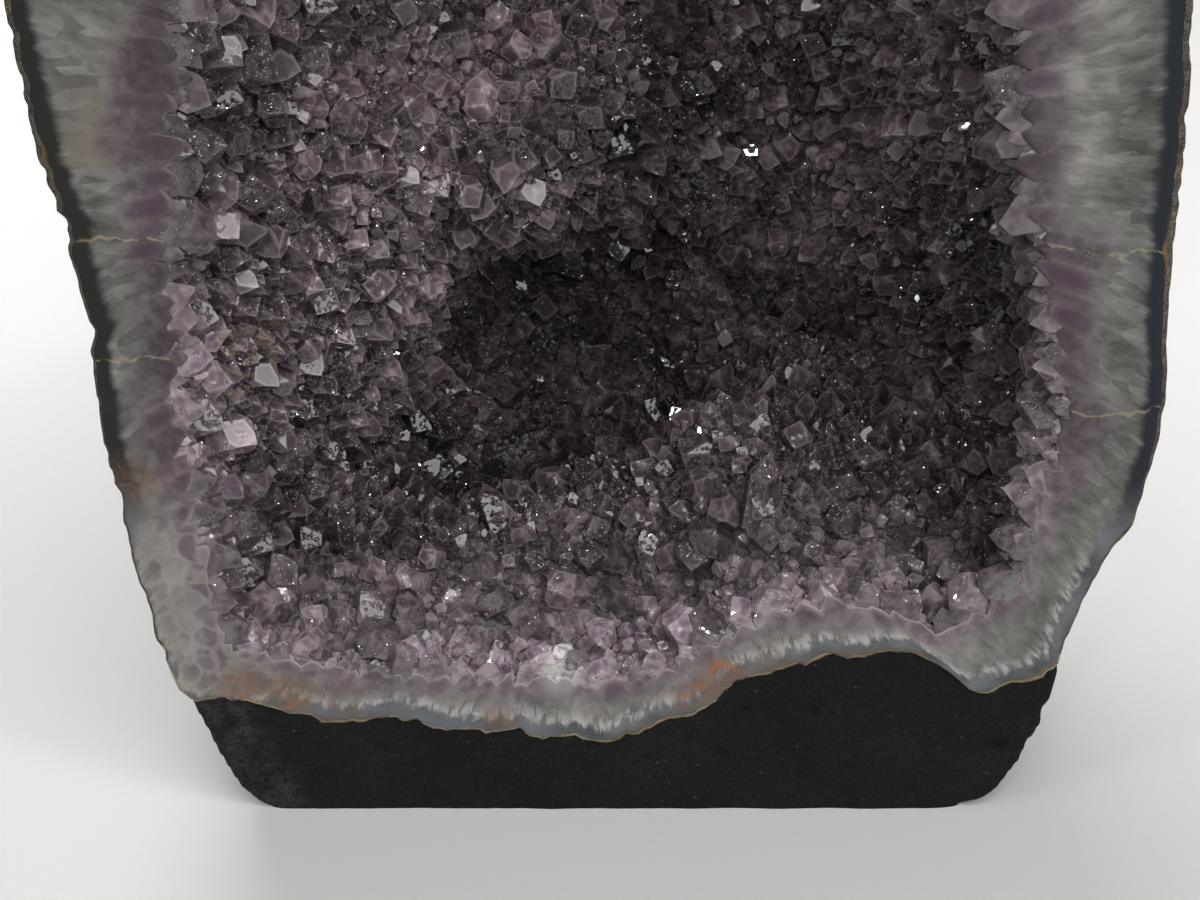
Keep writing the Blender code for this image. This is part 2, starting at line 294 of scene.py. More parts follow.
def painted_light_shade_and_tone_at(places):
    """How light the crust's colour is at each place, 1 as usual: painted light and shade, partly the
    points' own darker tone.
    """
    painted_light_shade_and_tone = np.ones(len(places))
    for centre, reach, amount in PAINTED_LIGHT_SHADE_AND_TONE:
        painted_light_shade_and_tone *= 1 + amount * nearness(places, centre, reach)
    return painted_light_shade_and_tone


def waves(places, size, shift=0.0):
    """Smooth noise from -1 to 1, with waves of about the size given."""
    offset = Vector((shift, shift * 0.7, -shift))
    return np.array([noise.noise(Vector(p) / size + offset) for p in places])


def inward(places):
    toward = np.array([0.0, FRONT + 40, AXIS_Z]) - places
    return toward / np.linalg.norm(toward, axis=1)[:, None]


def hollow(angle, t, druse):
    """The floor between the points, with the lumps that clusters of points grow on."""
    thick = LIP + (CRUST - LIP) * ease(0.0, 0.3, t)
    places = bowl(angle, t, inner_radius(angle) - thick, DEPTH - WALL - CRUST)
    places = swell(places, t, False)
    rise = waves(places, 24) * 0.62 + waves(places, 10, 5.0) * 0.38
    return places + inward(places) * (rise * druse * ease(0.0, 0.12, t))[:, None]


def skin(angle, t, radius, grit):
    """The rock's outer skin: the solids' lumps, and finer ones on them."""
    places = bowl(angle, t, radius, DEPTH)
    out = places - np.array([0.0, FRONT + 20, AXIS_Z])
    out /= np.linalg.norm(out, axis=1)[:, None]
    lump = np.array([noise.fractal(Vector(p) / LUMP_SIZE + AROUND, 0.9, 2.1, 3) for p in places])
    rise = np.minimum(SKIN_LUMP * lump * ease(0.0, 0.14, t), SKIN_LUMP * 0.8)
    fine = np.array(
        [noise.ridged_multi_fractal(Vector(p) / RIDGE_SIZE, 0.8, 2.3, 4, 1.0, 2.0) for p in places]
    )
    fine += waves(places, 5.5, 4.0) * 0.6 - np.clip(waves(places, 9, 6.0) - 0.25, 0, 1) * 3.0
    rise += (fine - 1.2) * grit * ease(0.0, 0.03, t)
    return places + out * rise[:, None]


# Meshes


def corners_of(mesh):
    flat = np.empty(len(mesh.vertices) * 3, np.float32)
    mesh.vertices.foreach_get("co", flat)
    return flat.reshape(-1, 3)


def set_corners(mesh, places):
    """Moves the mesh's corners to places in millimetres."""
    mesh.vertices.foreach_set("co", (places * MM).astype(np.float32).ravel())


def add_values(mesh, extras):
    """Keeps named values on the mesh's corners, for the materials to read."""
    for name, values in extras.items():
        layer = mesh.attributes.new(name, "FLOAT", "POINT")
        layer.data.foreach_set("value", values.astype(np.float32))


def cut_edges(bm, place, normal):
    """Cuts away what lies past a plane, and gives the edges of the cut."""
    cut = bmesh.ops.bisect_plane(
        bm,
        geom=bm.verts[:] + bm.edges[:] + bm.faces[:],
        plane_co=place,
        plane_no=normal,
        clear_outer=True,
    )
    return [e for e in cut["geom_cut"] if isinstance(e, bmesh.types.BMEdge)]


def net_mesh(name, columns, rows, place_of):
    """A net closed round and at both poles. place_of turns (angle, row) into places in mm."""
    bm = bmesh.new()
    bmesh.ops.create_grid(bm, x_segments=columns, y_segments=rows, size=0.5)
    mesh = bpy.data.meshes.new(name)
    bm.to_mesh(mesh)
    flat = corners_of(mesh)
    angle = (np.round((flat[:, 0] + 0.5) * columns) / columns * 2 - 1) * math.pi
    row = np.round((flat[:, 1] + 0.5) * rows)
    places, extras = place_of(angle, row)
    set_corners(mesh, places)
    add_values(mesh, extras)
    bm.clear()
    bm.from_mesh(mesh)
    bmesh.ops.remove_doubles(bm, verts=bm.verts[:], dist=2e-6)
    bmesh.ops.recalc_face_normals(bm, faces=bm.faces[:])
    bm.to_mesh(mesh)
    bm.free()
    return mesh


def add_piece(name, mesh, slot, *materials):
    piece = bpy.data.objects.new(name, mesh)
    bpy.context.scene.collection.objects.link(piece)
    for surface in materials:
        mesh.materials.append(surface)
    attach(piece, "root")
    return piece


def shade_smooth(mesh):
    mesh.polygons.foreach_set("use_smooth", np.ones(len(mesh.polygons), bool))


# Shader nodes


class Value:
    """A shader socket that takes part in arithmetic. Each operation adds its Math node."""

    def __init__(self, tree, socket):
        self.tree = tree
        self.socket = socket

    def math(self, operation, *terms):
        node = self.tree.nodes.new("ShaderNodeMath")
        node.operation = operation
        for i, term in enumerate(terms):
            feed(self.tree, node.inputs[i], term)
        return Value(self.tree, node.outputs[0])

    def __add__(self, other):
        return self.math("ADD", self, other)

    def __radd__(self, other):
        return self.math("ADD", other, self)

    def __sub__(self, other):
        return self.math("SUBTRACT", self, other)

    def __rsub__(self, other):
        return self.math("SUBTRACT", other, self)

    def __mul__(self, other):
        return self.math("MULTIPLY", self, other)

    def __rmul__(self, other):
        return self.math("MULTIPLY", other, self)

    def __truediv__(self, other):
        return self.math("DIVIDE", self, other)

    def __abs__(self):
        return self.math("ABSOLUTE", self)

    def most(self, other):
        return self.math("MAXIMUM", self, other)

    def least(self, other):
        return self.math("MINIMUM", self, other)

    def clamp(self):
        return self.most(0.0).least(1.0)

    def above(self, low, high):
        """0 below low, 1 over high, smooth between."""
        node = self.tree.nodes.new("ShaderNodeMapRange")
        node.interpolation_type = "SMOOTHSTEP"
        feed(self.tree, node.inputs["Value"], self)
        node.inputs["From Min"].default_value = low
        node.inputs["From Max"].default_value = high
        return Value(self.tree, node.outputs["Result"])


def feed(tree, socket, value):
    if isinstance(value, Value):
        tree.links.new(value.socket, socket)
    elif hasattr(socket.default_value, "__len__") and len(socket.default_value) == 4:
        socket.default_value = (*value, 1.0) if len(value) == 3 else value
    else:
        socket.default_value = value


class Finish:
    """A material under construction, round one Principled shader."""

    def __init__(self, name):
        self.material = bpy.data.materials.new(name)
        self.material.use_nodes = True
        self.tree = self.material.node_tree
        self.shader = self.tree.nodes["Principled BSDF"]
        self.objects = self.node("ShaderNodeTexCoord", output="Object")

    def node(self, kind, settings=(), inputs=(), output=0):
        node = self.tree.nodes.new(kind)
        for key, value in dict(settings).items():
            setattr(node, key, value)
        for key, value in dict(inputs).items():
            feed(self.tree, node.inputs[key], value)
        return Value(self.tree, node.outputs[output])

    def set(self, **values):
        for key, value in values.items():
            feed(self.tree, self.shader.inputs[key.replace("_", " ")], value)

    def attribute(self, name):
        return self.node("ShaderNodeAttribute", {"attribute_name": name}, output="Fac")

    def mix(self, share, first, second):
        made = self.node("ShaderNodeMix", {"data_type": "RGBA"})
        node = made.socket.node
        feed(self.tree, node.inputs["Factor"], share)
        feed(self.tree, node.inputs[6], first)
        feed(self.tree, node.inputs[7], second)
        return Value(self.tree, node.outputs[2])

    def tint(self, colour, amount):
        """The colour made darker or lighter by a value."""
        return self.vector("MULTIPLY", colour, self.join(amount, amount, amount))

    def join(self, x=0.0, y=0.0, z=0.0):
        return self.node("ShaderNodeCombineXYZ", (), {0: x, 1: y, 2: z})

    def vector(self, operation, first, second=None, scale=None, output=0):
        settings = {"operation": operation}
        made = self.node("ShaderNodeVectorMath", settings, {0: first}, output)
        node = made.socket.node
        if second is not None:
            feed(self.tree, node.inputs[1], second)
        if scale is not None:
            feed(self.tree, node.inputs["Scale"], scale)
        return made

    def away_from(self, place):
        """Distance to a place given in millimetres as x, depth behind the sawn face, z."""
        x, depth, z = place
        centre = (x * MM, (FRONT + depth) * MM, z * MM)
        return self.vector("DISTANCE", self.objects, centre, output=1)

    def axes(self, vector):
        split = self.node("ShaderNodeSeparateXYZ", (), {0: vector}).socket.node
        return [Value(self.tree, out) for out in split.outputs]

    def noise(self, vector, scale, detail, rough, distort=0.0):
        inputs = {
            "Vector": vector,
            "Scale": scale,
            "Detail": detail,
            "Roughness": rough,
            "Distortion": distort,
        }
        return self.node("ShaderNodeTexNoise", (), inputs)

    def cells(self, vector, scale, feature="F1", output="Distance"):
        settings = {"feature": feature}
        return self.node("ShaderNodeTexVoronoi", settings, {"Vector": vector, "Scale": scale}, output)

    def bump(self, height, distance, strength):
        inputs = {"Height": height, "Distance": distance, "Strength": strength}
        return self.node("ShaderNodeBump", (), inputs)


def colour_property(name, description, default):
    return FloatVectorProperty(
        name=name, description=description, subtype="COLOR", size=3, min=0, max=1, default=default
    )


def length_property(name, description, default):
    return FloatProperty(name=name, description=description, unit="LENGTH", min=0, default=default)


def light_property(name, description, default):
    return FloatProperty(name=name, description=description, min=0, default=default)


class GeodeRockSettings(PropertyGroup):
    grit: length_property("Grit", "Height of the skin's fine ridges", 0.0015)
    chip: length_property("Chipping", "Depth of the chips along the sawn edge", 0.0018)
    agate_width: length_property("Agate width", "Usual width of the agate band", 0.0062)
    agate: colour_property("Agate", "Grey agate at the bottom", (0.130, 0.140, 0.148))
    dark_agate: colour_property("Dark agate", "Blue-black agate on the right", (0.014, 0.018, 0.023))
    quartz: colour_property("White quartz", "Fibrous quartz inside the agate", (0.29, 0.28, 0.265))
    rust: colour_property("Rust", "Iron stain in the agate", (0.235, 0.100, 0.048))
    cream: colour_property("Crust line", "Thin crust between agate and skin", (0.36, 0.30, 0.19))
    earth: colour_property("Skin", "Dark brown-grey outer skin", (0.100, 0.080, 0.062))
    ochre: colour_property("Ochre", "Lighter patches of the skin", (0.24, 0.155, 0.078))


class GeodeCrystalSettings(PropertyGroup):
    front_radius: length_property("Front radius", "Radius of the large points near the rim", 0.0060)
    deep_radius: length_property("Deep radius", "Radius of the large points deep inside", 0.0050)
    druse: length_property("Lumps", "Height of the lumps that clusters grow on", 0.0042)
    spacing: FloatProperty(
        name="Spacing", description="Distance between large points, in radii", min=0.5, default=1.3
    )
    lean: FloatProperty(
        name="Lean", description="Most lean of a point", subtype="ANGLE", default=math.radians(24)
    )
    seed: IntProperty(name="Seed", description="Start of the random draws", default=5)
    tip: colour_property("Tip", "Purple of the tips", (0.190, 0.134, 0.172))
    lilac: colour_property("Veil", "Lilac veils in the points near the rim", (0.385, 0.32, 0.355))
    root: colour_property("Root", "Milky white of the roots", (0.40, 0.385, 0.38))
    # Nearly black: the crust's own dark purple with painted shade between the points.
    deep: colour_property("Bed", "Crust between the points", (0.026, 0.017, 0.023))


class GeodeCementSettings(PropertyGroup):
    recess: length_property("Set back", "Cement's face behind the polished face", 0.0006)
    voxel: length_property("Fineness", "Size of the faces before the grain", 0.0016)
    colour: colour_property("Cement", "Dark cement", (0.0105, 0.0118, 0.0112))
    worn: colour_property("Worn", "Lighter rubbed places", (0.085, 0.078, 0.066))


class GeodeStageSettings(PropertyGroup):
    floor: colour_property("Floor", "Plain pale floor", (0.445, 0.440, 0.433))
    # The floor behind the piece is lighter: painted light.
    far_floor_painted_light: colour_property("Far floor", "Floor behind the piece", (0.66, 0.654, 0.645))
    key: light_property("Key light", "Watts of the main soft box", 17.0)
    fill: light_property("Fill light", "Watts of the side soft box", 4.0)
    top: light_property("Top light", "Watts of the overhead soft box", 4.0)
    back: light_property("Back light", "Watts of the soft box behind", 30.0)
    spark: light_property("Sparkle lights", "Watts of each small lamp", 1.5)
    sky: light_property("Room light", "Strength of the plain room", 0.15)


# Rock


ROCK_COLUMNS = 640
ROCK_ROWS = (16, 20, 114)  # hidden inside, across the polished face, outer skin
NOISE_CIRCLE = 150  # radius at which the sawn edge's chips are read from the noise


def sawn_points(angle):
    """Sawn crystals on the polished face's inner edge: height, distance to the seam, tone."""
    rng = np.random.default_rng(21)
    turn = np.linspace(-math.pi, math.pi, 2001)
    edge = inner_radius(turn)
    length = np.hypot(np.diff(edge * np.cos(turn)), np.diff(edge * np.sin(turn)))
    run = np.concatenate([[0.0], np.cumsum(length)])
    widths = rng.uniform(*SAWN_WIDTH, int(run[-1] / np.mean(SAWN_WIDTH)))
    starts = np.concatenate([[0.0], np.cumsum(widths)]) / widths.sum() * run[-1]
    place = np.interp(angle, turn, run) % run[-1]
    i = np.clip(np.searchsorted(starts, place, side="right") - 1, 0, len(widths) - 1)
    share = (place - starts[i]) / (starts[i + 1] - starts[i])
    peak = rng.uniform(0.3, 0.7, len(widths))[i]
    middle = np.where(share < peak, share / peak, (1 - share) / (1 - peak))
    tip = (widths * rng.uniform(*SAWN_SLOPE, len(widths)))[i] * middle**0.8
    seam = np.minimum(share, 1 - share) * widths[i]
    shaft = rng.uniform(0, SAWN_SHAFT, len(widths))[i] * np.clip(seam / 0.8, 0, 1)
    return shaft + tip, seam, rng.random(len(widths))[i]


def rock_places(settings):
    def place_of(angle, row):
        inside, face, outside = ROCK_ROWS
        outer = outer_radius(angle)
        inner = inner_radius(angle)
        across, up = np.cos(angle), np.sin(angle)
        circle = np.stack([across, np.zeros_like(angle), up], axis=1) * NOISE_CIRCLE
        jag = waves(circle, 13, 2.0) * 0.7 + waves(circle, 4, 9.0) * 0.6
        rough_side = 0.55 + 0.95 * ease(20, -60, outer * across)
        in_cement = ease(*CEMENT_LINE, AXIS_Z + outer * up)
        steps = waves(circle, 7, 4.0) * 3.4 + waves(circle, 2.5, 6.0) * 1.8
        outer = outer + np.minimum(jag, 0.22) * rough_side * settings.chip / MM
        outer += np.clip(steps, -1.9, 1.7) * in_cement
        places = np.empty((len(angle), 3))
        hidden = row <= inside
        t = 1 - row / inside
        places[hidden] = swell(bowl(angle, t, inner, DEPTH - WALL)[hidden], t[hidden], True)
        rise, seam, tone = sawn_points(angle)
        share = np.clip((row - inside) / face, 0.0, 1.0)
        flat = (row >= inside) & (row < inside + face)
        tip = inner - SAWN_ROOT - rise
        radius = tip + (outer - tip) * share
        level = np.full_like(angle, FRONT)
        level += (share > 0.97) * (0.5 - 0.4 * in_cement)
        places[flat] = ring(angle, radius, level)[flat]
        skinned = row >= inside + face
        t = np.clip((row - inside - face) / outside, 0.0, 1.0) ** ROW_POWER
        places[skinned] = skin(angle[skinned], t[skinned], outer[skinned], settings.grit / MM)
        edge_row = row == inside + face
        places[edge_row, 1] += ((1.0 + np.abs(jag) * 1.2) * (1 - 0.7 * in_cement))[edge_row]
        extras = {
            "from_skin": outer - radius,
            "inset": inner - radius,
            "sawn_seam": seam,
            "sawn_edge": radius - tip,
            "sawn_tone": tone,
        }
        return places, extras

    return place_of


def face_patterns(f, settings):
    """Places, distances, zones and noises on the polished face that its colours are made from."""
    p = SimpleNamespace(
        from_skin=f.attribute("from_skin"),
        inset=f.attribute("inset"),
        seam=f.attribute("sawn_seam"),
        edge=f.attribute("sawn_edge"),
        tone=f.attribute("sawn_tone"),
        cloud=f.noise(f.objects, 70.0, 2.0, 0.6),
        patch=f.noise(f.objects, 38.0, 1.0, 0.5),
        veil=f.noise(f.objects, 260.0, 3.0, 0.65),
        fine=f.noise(f.objects, 900.0, 2.0, 0.6),
    )
    p.x, _, p.z = f.axes(f.objects)
    ray_x, _, ray_z = f.axes(f.vector("NORMALIZE", f.join(p.x, 0.0, p.z - AXIS_Z * MM)))
    wander = f.noise(f.objects, 95.0, 1.0, 0.5) * 1.2

    def along_rays(width, length, shift):
        """Places stretched along the rays from the middle, for fibres of this width and length."""
        turns = 130.0 / width
        return f.join(ray_x * turns + wander, p.from_skin / length + shift, ray_z * turns - wander)

    p.broad = f.noise(along_rays(4.2, 13.0, 0.0), 1.0, 3.0, 0.6, 0.6)
    p.thin = f.noise(along_rays(1.3, 7.0, 7.0), 1.0, 2.0, 0.6, 0.6)
    p.shards = f.axes(f.cells(along_rays(2.6, 7.5, 3.0), 1.0, "F1", "Color"))[0]
    p.right = p.x.above(0.108, 0.126) * p.z.above(0.100, 0.125)
    p.left = (p.x * -1.0).above(0.100, 0.120) * p.z.above(0.100, 0.130)
    p.corner = (p.x * -1.0).above(0.096, 0.112) * p.z.above(0.118, 0.098)
    p.bottom = p.z.above(0.112, 0.080)
    p.wall = p.z.above(0.105, 0.150)
    feather = (p.thin - 0.5) * (1.2 + p.bottom * 4.8) + (p.broad - 0.5) * (3.0 + p.bottom * 5.0)
    feather = feather + (p.cloud - 0.5) * 4.0
    p.past_agate = p.from_skin + feather - settings.agate_width / MM * (1 - 0.8 * p.corner)
    return p


def white_quartz(f, p, settings):
    """Fibres on the right, cloudier on the left, white fans at the bottom."""
    strands = p.broad * 0.52 + p.thin * 0.20 + p.cloud * 0.48
    mottle = p.cloud * 0.65 + p.veil * 0.35 + p.broad * 0.22
    light = strands * (1 - p.left * 0.75) + mottle * p.left * 0.75
    colour = f.mix(light.above(0.42, 0.84), (0.110, 0.106, 0.098), settings.quartz)
    colour = f.tint(colour, 1.0 - p.left * 0.36 - p.right * (0.40 + p.z.above(0.18, 0.24) * 0.14))
    colour = f.tint(colour, 1.0 + (p.shards - 0.5) * 0.55 * (p.left + p.right).clamp())
    colour = f.tint(colour, 1.0 - p.x.above(0.085, 0.120) * p.z.above(0.125, 0.100) * 0.28)
    fans = p.past_agate.above(6.0, 1.5) * p.thin.above(0.40, 0.60) * p.bottom
    colour = f.mix(fans * 0.6, colour, (0.46, 0.455, 0.445))
    stain = f.mix(p.patch.above(0.4, 0.6), (0.16, 0.125, 0.085), (0.20, 0.165, 0.135))
    return f.mix(p.left * p.patch.above(0.50, 0.66) * 0.45, colour, stain)


def sawn_crystals(f, p, colour):
    """Purple cores, pale rims and seams, in a zone of uneven width."""
    soft = (p.veil - 0.5) * 4.0
    uneven = ((p.patch - 0.5) * 28.0 + (p.cloud - 0.5) * 16.0) * (1 - p.bottom * 0.55)
    deep = p.inset + uneven + p.wall * 4.5
    lilac = deep.above(-5.0, 5.0)
    core = (p.seam + soft).above(0.3, 3.0) * (p.edge + soft).above(0.3, 4.0)
    core = core * deep.above(-3.0, 6.0)
    rim = (p.edge + soft).above(1.8, -0.4).most((p.seam + soft * 0.5).above(0.7, -0.3) * 0.7)
    rim = rim * deep.above(-4.0, 3.0) * p.cloud.above(0.38, 0.62)
    crystal = f.mix(p.veil.above(0.38, 0.62), (0.100, 0.070, 0.086), (0.200, 0.158, 0.180))
    crystal = f.tint(crystal, 1.0 - p.wall * 0.42)
    for share, paint in (
        (lilac * 0.80, crystal),
        (deep.above(2.0, 12.0) * p.wall * 0.55, (0.040, 0.024, 0.036)),
        (core * p.tone.above(0.2, 0.9) * 0.75, (0.042, 0.026, 0.040)),
        (rim * (0.55 - p.wall * 0.25), (0.28, 0.243, 0.265)),
    ):
        colour = f.mix(share, colour, paint)
    return f.tint(colour, 1.0 + (p.tone - 0.5) * 0.5 * lilac)


def corner_cells(f, p, colour):
    """Sawn crystals with pale seams all over the lower left corner."""
    soft = (p.veil - 0.5) * 4.0
    bent = f.node("ShaderNodeTexNoise", (), {"Vector": f.objects, "Scale": 120.0}, "Color")
    bent = f.vector("ADD", f.objects, f.vector("SCALE", bent, scale=0.007))
    seams = f.cells(bent, 150.0, "DISTANCE_TO_EDGE")
    pieces = f.axes(f.cells(bent, 150.0, "F1", "Color"))[0]
    sawn = f.mix(pieces.above(0.3, 0.9), (0.112, 0.082, 0.100), (0.215, 0.190, 0.190))
    sawn = f.mix((seams + soft * 0.05).above(0.18, 0.0) * 0.7, sawn, (0.29, 0.262, 0.238))
    sawn = f.mix(p.veil.above(0.50, 0.70) * 0.4, sawn, (0.30, 0.28, 0.275))
    sawn = f.mix((p.from_skin + soft * 1.5).above(11.0, 2.0) * 0.55, sawn, (0.205, 0.168, 0.120))
    return f.mix(p.corner * 0.6, colour, sawn)


def agate_bands(f, p, settings):
    """Grey bands at the bottom, nearly black up the sides."""
    lines = f.node(
        "ShaderNodeTexWave",
        {"wave_type": "BANDS", "bands_direction": "X"},
        {"Vector": f.join(p.from_skin * 0.22 + p.cloud * 0.9), "Scale": 1.0},
        "Fac",
    )
    olive = (p.from_skin + (p.cloud - 0.5) * 4.0).above(4.2, 0.8) * p.patch.above(0.42, 0.58)
    colour = settings.agate
    for share, paint in (
        (p.cloud.above(0.35, 0.7), (0.052, 0.057, 0.062)),
        (lines * 0.18, (0.15, 0.155, 0.16)),
        (olive * 0.7 * p.bottom, (0.105, 0.085, 0.055)),
        (p.right, settings.dark_agate),
        (p.left * 0.96, (0.013, 0.0125, 0.011)),
    ):
        colour = f.mix(share, colour, paint)
    return colour


def iron_stains(f, p, settings, colour):
    """A brown tinge with thin ribbons in it, and one bright arc."""
    ribbon = abs(f.noise(f.objects, 150.0, 2.0, 0.5, 1.0) - 0.5).above(0.060, 0.004)
    for x, z, radius, strength in RUST_SPOTS:
        away = f.away_from((x, 0, z)) + (p.cloud - 0.5) * 0.014
        near = away.above(radius * MM, radius * 0.4 * MM) * strength
        colour = f.mix(near * 0.55, colour, (0.125, 0.078, 0.052))
        colour = f.mix(near * ribbon * 0.6, colour, settings.rust)
    x, z, radius = ARC
    off_line = abs(f.away_from((x, 0, z)) + (p.veil - 0.5) * 0.0040 - radius * MM)
    line = off_line.above(0.0011, 0.0001) * p.veil.above(0.34, 0.50)
    upper = (p.z - p.x * 0.5 - (z - x * 0.5 - 1.0) * MM).above(-0.001, 0.001)
    return f.mix(line * upper * 0.75, colour, (0.36, 0.105, 0.028))


def healed_cracks(f, p, settings, colour):
    """Thin cream lines across the rim."""
    crack = 0.0
    for side, height in CRACKS:
        level = p.z - height * MM + (p.cloud - 0.5) * 0.012 + (p.veil - 0.5) * 0.004
        crack = abs(level).above(0.0006, 0.0001) * (p.x * float(side)).above(0.09, 0.11) + crack
    return f.mix(crack.clamp() * p.veil.above(0.36, 0.52) * 0.4, colour, settings.cream)


def banded_finish(settings):
    """Polished face: rind, agate with rust, feathery quartz, and the sawn crystals."""
    f = Finish("polished_agate_and_quartz")
    p = face_patterns(f, settings)
    quartz = corner_cells(f, p, sawn_crystals(f, p, white_quartz(f, p, settings)))
    white_x, _, white_z = WHITE_CLUSTER
    away = f.away_from((white_x, 0, white_z)) + (p.veil - 0.5) * 0.006
    quartz = f.mix(away.above(0.0085, 0.0030) * 0.45, quartz, (0.40, 0.38, 0.355))
    colour = f.mix(p.past_agate.above(-1.2, 1.9), agate_bands(f, p, settings), quartz)
    colour = iron_stains(f, p, settings, colour)
    colour = healed_cracks(f, p, settings, colour)

    # Rind: a wavy cream line over the cement, ochre and olive patches further up.
    line_width = 0.85 + (p.cloud - 0.5) * 2.6 + (p.veil - 0.5) * 2.2
    crust = (p.from_skin - line_width).above(0.3, -0.2) * p.bottom * p.veil.above(0.28, 0.42)
    colour = f.mix(crust * 0.85, colour, settings.cream)
    rind_width = (p.patch - 0.46) * 16.0 + (p.veil - 0.5) * 2.5
    rind = (p.from_skin - rind_width).above(0.4, -0.4) * (1 - p.bottom * 0.7)
    ochre = f.mix(p.cloud.above(0.44, 0.58), (0.075, 0.068, 0.042), (0.15, 0.095, 0.035))
    f.set(
        Base_Color=f.mix(rind * 0.8, colour, ochre),
        Roughness=0.30 + p.fine * 0.2 + (crust + rind).clamp() * 0.3,
        Specular_IOR_Level=0.18,
        Normal=f.bump(p.fine, 0.0003, 0.4),
    )
    return f.material


def skin_finish(settings):
    """Rough outer skin: dark brown-grey with ochre and green-grey patches."""
    f = Finish("rough_rock_skin")
    broad = f.noise(f.objects, 16.0, 6.0, 0.72)
    patch = f.noise(f.objects, 52.0, 6.0, 0.78)
    fine = f.noise(f.objects, 480.0, 4.0, 0.75)
    pits = f.cells(f.objects, 240.0)
    crumbs = f.noise(f.objects, 1300.0, 2.0, 0.6)
    colour = f.mix(broad.above(0.44, 0.58), settings.earth, (0.108, 0.102, 0.087))
    colour = f.mix((patch * 0.75 + fine * 0.25).above(0.52, 0.60) * 0.65, colour, settings.ochre)
    colour = f.mix((patch * 0.6 + fine * 0.4).above(0.47, 0.39) * 0.75, colour, (0.026, 0.026, 0.025))
    colour = f.tint(colour, (fine * 0.6 + crumbs * 0.4).above(0.30, 0.70) * 1.5 + 0.3)
    f.set(
        Base_Color=colour,
        Roughness=0.80 + fine * 0.15,
        Specular_IOR_Level=0.25,
        Normal=f.bump(fine * 1.2 + crumbs * 0.3 - pits * 0.7 + patch * 0.6, 0.0035, 1.0),
    )
    return f.material


def sawn_faces(mesh):
    """Which faces show the banded inside: the polished face and the hidden wall behind it."""
    middle = np.array([p.center[:] for p in mesh.polygons]) / MM
    toward = np.array([p.normal.y for p in mesh.polygons])
    across, up = middle[:, 0], middle[:, 2] - AXIS_Z
    inside = np.hypot(across, up) < inner_radius(np.arctan2(up, across)) + 0.5
    return (toward < -0.9) & (middle[:, 1] < FRONT + 1.4) | inside & (middle[:, 1] < FRONT + 60)


class GEODE_OT_rock(Operator):
    """Rock with its rough skin and its sawn, polished face"""

    bl_idname = "geode.rock"
    bl_label = "Rock"

    def execute(self, context):
        settings = context.scene.geode_rock
        mesh = net_mesh("geode_rock", ROCK_COLUMNS, sum(ROCK_ROWS), rock_places(settings))
        shade_smooth(mesh)
        piece = add_piece(
            "geode_rock", mesh, "banded_rock", skin_finish(settings), banded_finish(settings)
        )
        mesh.polygons.foreach_set("material_index", sawn_faces(mesh).astype(np.int32))
        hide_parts("geode_shell")
        return {"FINISHED"}


# Crystals


BED_COLUMNS = 400
BED_ROWS = (22, 6, 168)  # hidden back, across the sawn face, floor between the points
GROWN = 3.3  # length of a point below its tip, in radii
SHORT_ROOT = 1.9  # where a long root would come out of the crust's other side
LEAST_ROOT = 1.4  # where the rock is thin
POINT_SHAPES = 14
QUARTZ_SLOPE = 51.8  # degrees between a point's axis and the normals of its tip's faces
ROOT_COVER = 3.5  # rock left over a root, in mm


def bed_places(settings):
    def place_of(angle, row):
        back, face, front = BED_ROWS
        inner = inner_radius(angle) - BED_GAP
        druse = settings.druse / MM
        places = np.empty((len(angle), 3))
        t = np.clip(1 - row / back, 0.0, 1.0)
        behind = swell(bowl(angle, t, inner, DEPTH - WALL - BED_GAP), t, True)
        behind[:, 1] = np.maximum(behind[:, 1], FRONT + BED_SET_BACK)
        hidden = row <= back
        places[hidden] = behind[hidden]
        share = np.clip((row - back) / face, 0.0, 1.0)
        flat = (row > back) & (row < back + face)
        radius = inner - (LIP - BED_GAP) * share
        level = np.full_like(angle, FRONT + BED_SET_BACK)
        places[flat] = ring(angle, radius, level)[flat]
        open_rows = row >= back + face
        t = np.clip((row - back - face) / front, 0.0, 1.0)
        floor = hollow(angle[open_rows], t[open_rows], druse)
        floor[:, 1] = np.maximum(floor[:, 1], FRONT + BED_SET_BACK)
        places[open_rows] = floor
        # with the painted light and shade of the crust between the points
        return places, {"grow": share * 0.5, "painted_light_shade_and_tone": painted_light_shade_and_tone_at(places)}

    return place_of


def quartz_point(rng):
    """One quartz point: a six-sided prism cut to a tip by three large and three small faces."""
    bm = bmesh.new()
    bmesh.ops.create_cone(
        bm, cap_ends=True, segments=6, radius1=0.86, radius2=1.0, depth=GROWN + 2.0
    )
    bmesh.ops.translate(bm, verts=bm.verts[:], vec=(0, 0, 1 - GROWN / 2))
    bmesh.ops.scale(bm, verts=bm.verts[:], vec=(1.0, rng.uniform(0.78, 1.0), 1.0))
    slope = math.radians(QUARTZ_SLOPE)
    for k in range(6):
        turn = math.radians(60 * k + 30) + rng.normal(0, 0.03)
        lift = abs(rng.normal(0, 0.06)) if k % 2 == 0 else rng.uniform(0.12, 0.45)
        tilt = slope + rng.normal(0, 0.03)
        normal = Vector(
            (math.cos(turn) * math.sin(tilt), math.sin(turn) * math.sin(tilt), math.cos(tilt))
        )
        edges = cut_edges(bm, (0, 0, lift), normal)
        if edges:
            bmesh.ops.contextual_create(bm, geom=edges)
    bmesh.ops.remove_doubles(bm, verts=bm.verts[:], dist=0.02)
    top = max(v.co.z for v in bm.verts)
    bmesh.ops.translate(bm, verts=bm.verts[:], vec=(0, 0, -top))
    bmesh.ops.triangulate(bm, faces=bm.faces[:])
    bmesh.ops.recalc_face_normals(bm, faces=bm.faces[:])
    bm.verts.index_update()
    corners = np.array([v.co[:] for v in bm.verts])
    triangles = np.array([[v.index for v in f.verts] for f in bm.faces])
    edges = np.array([edge_distances(f) for f in bm.faces])
    bm.free()
    return corners, triangles, edges


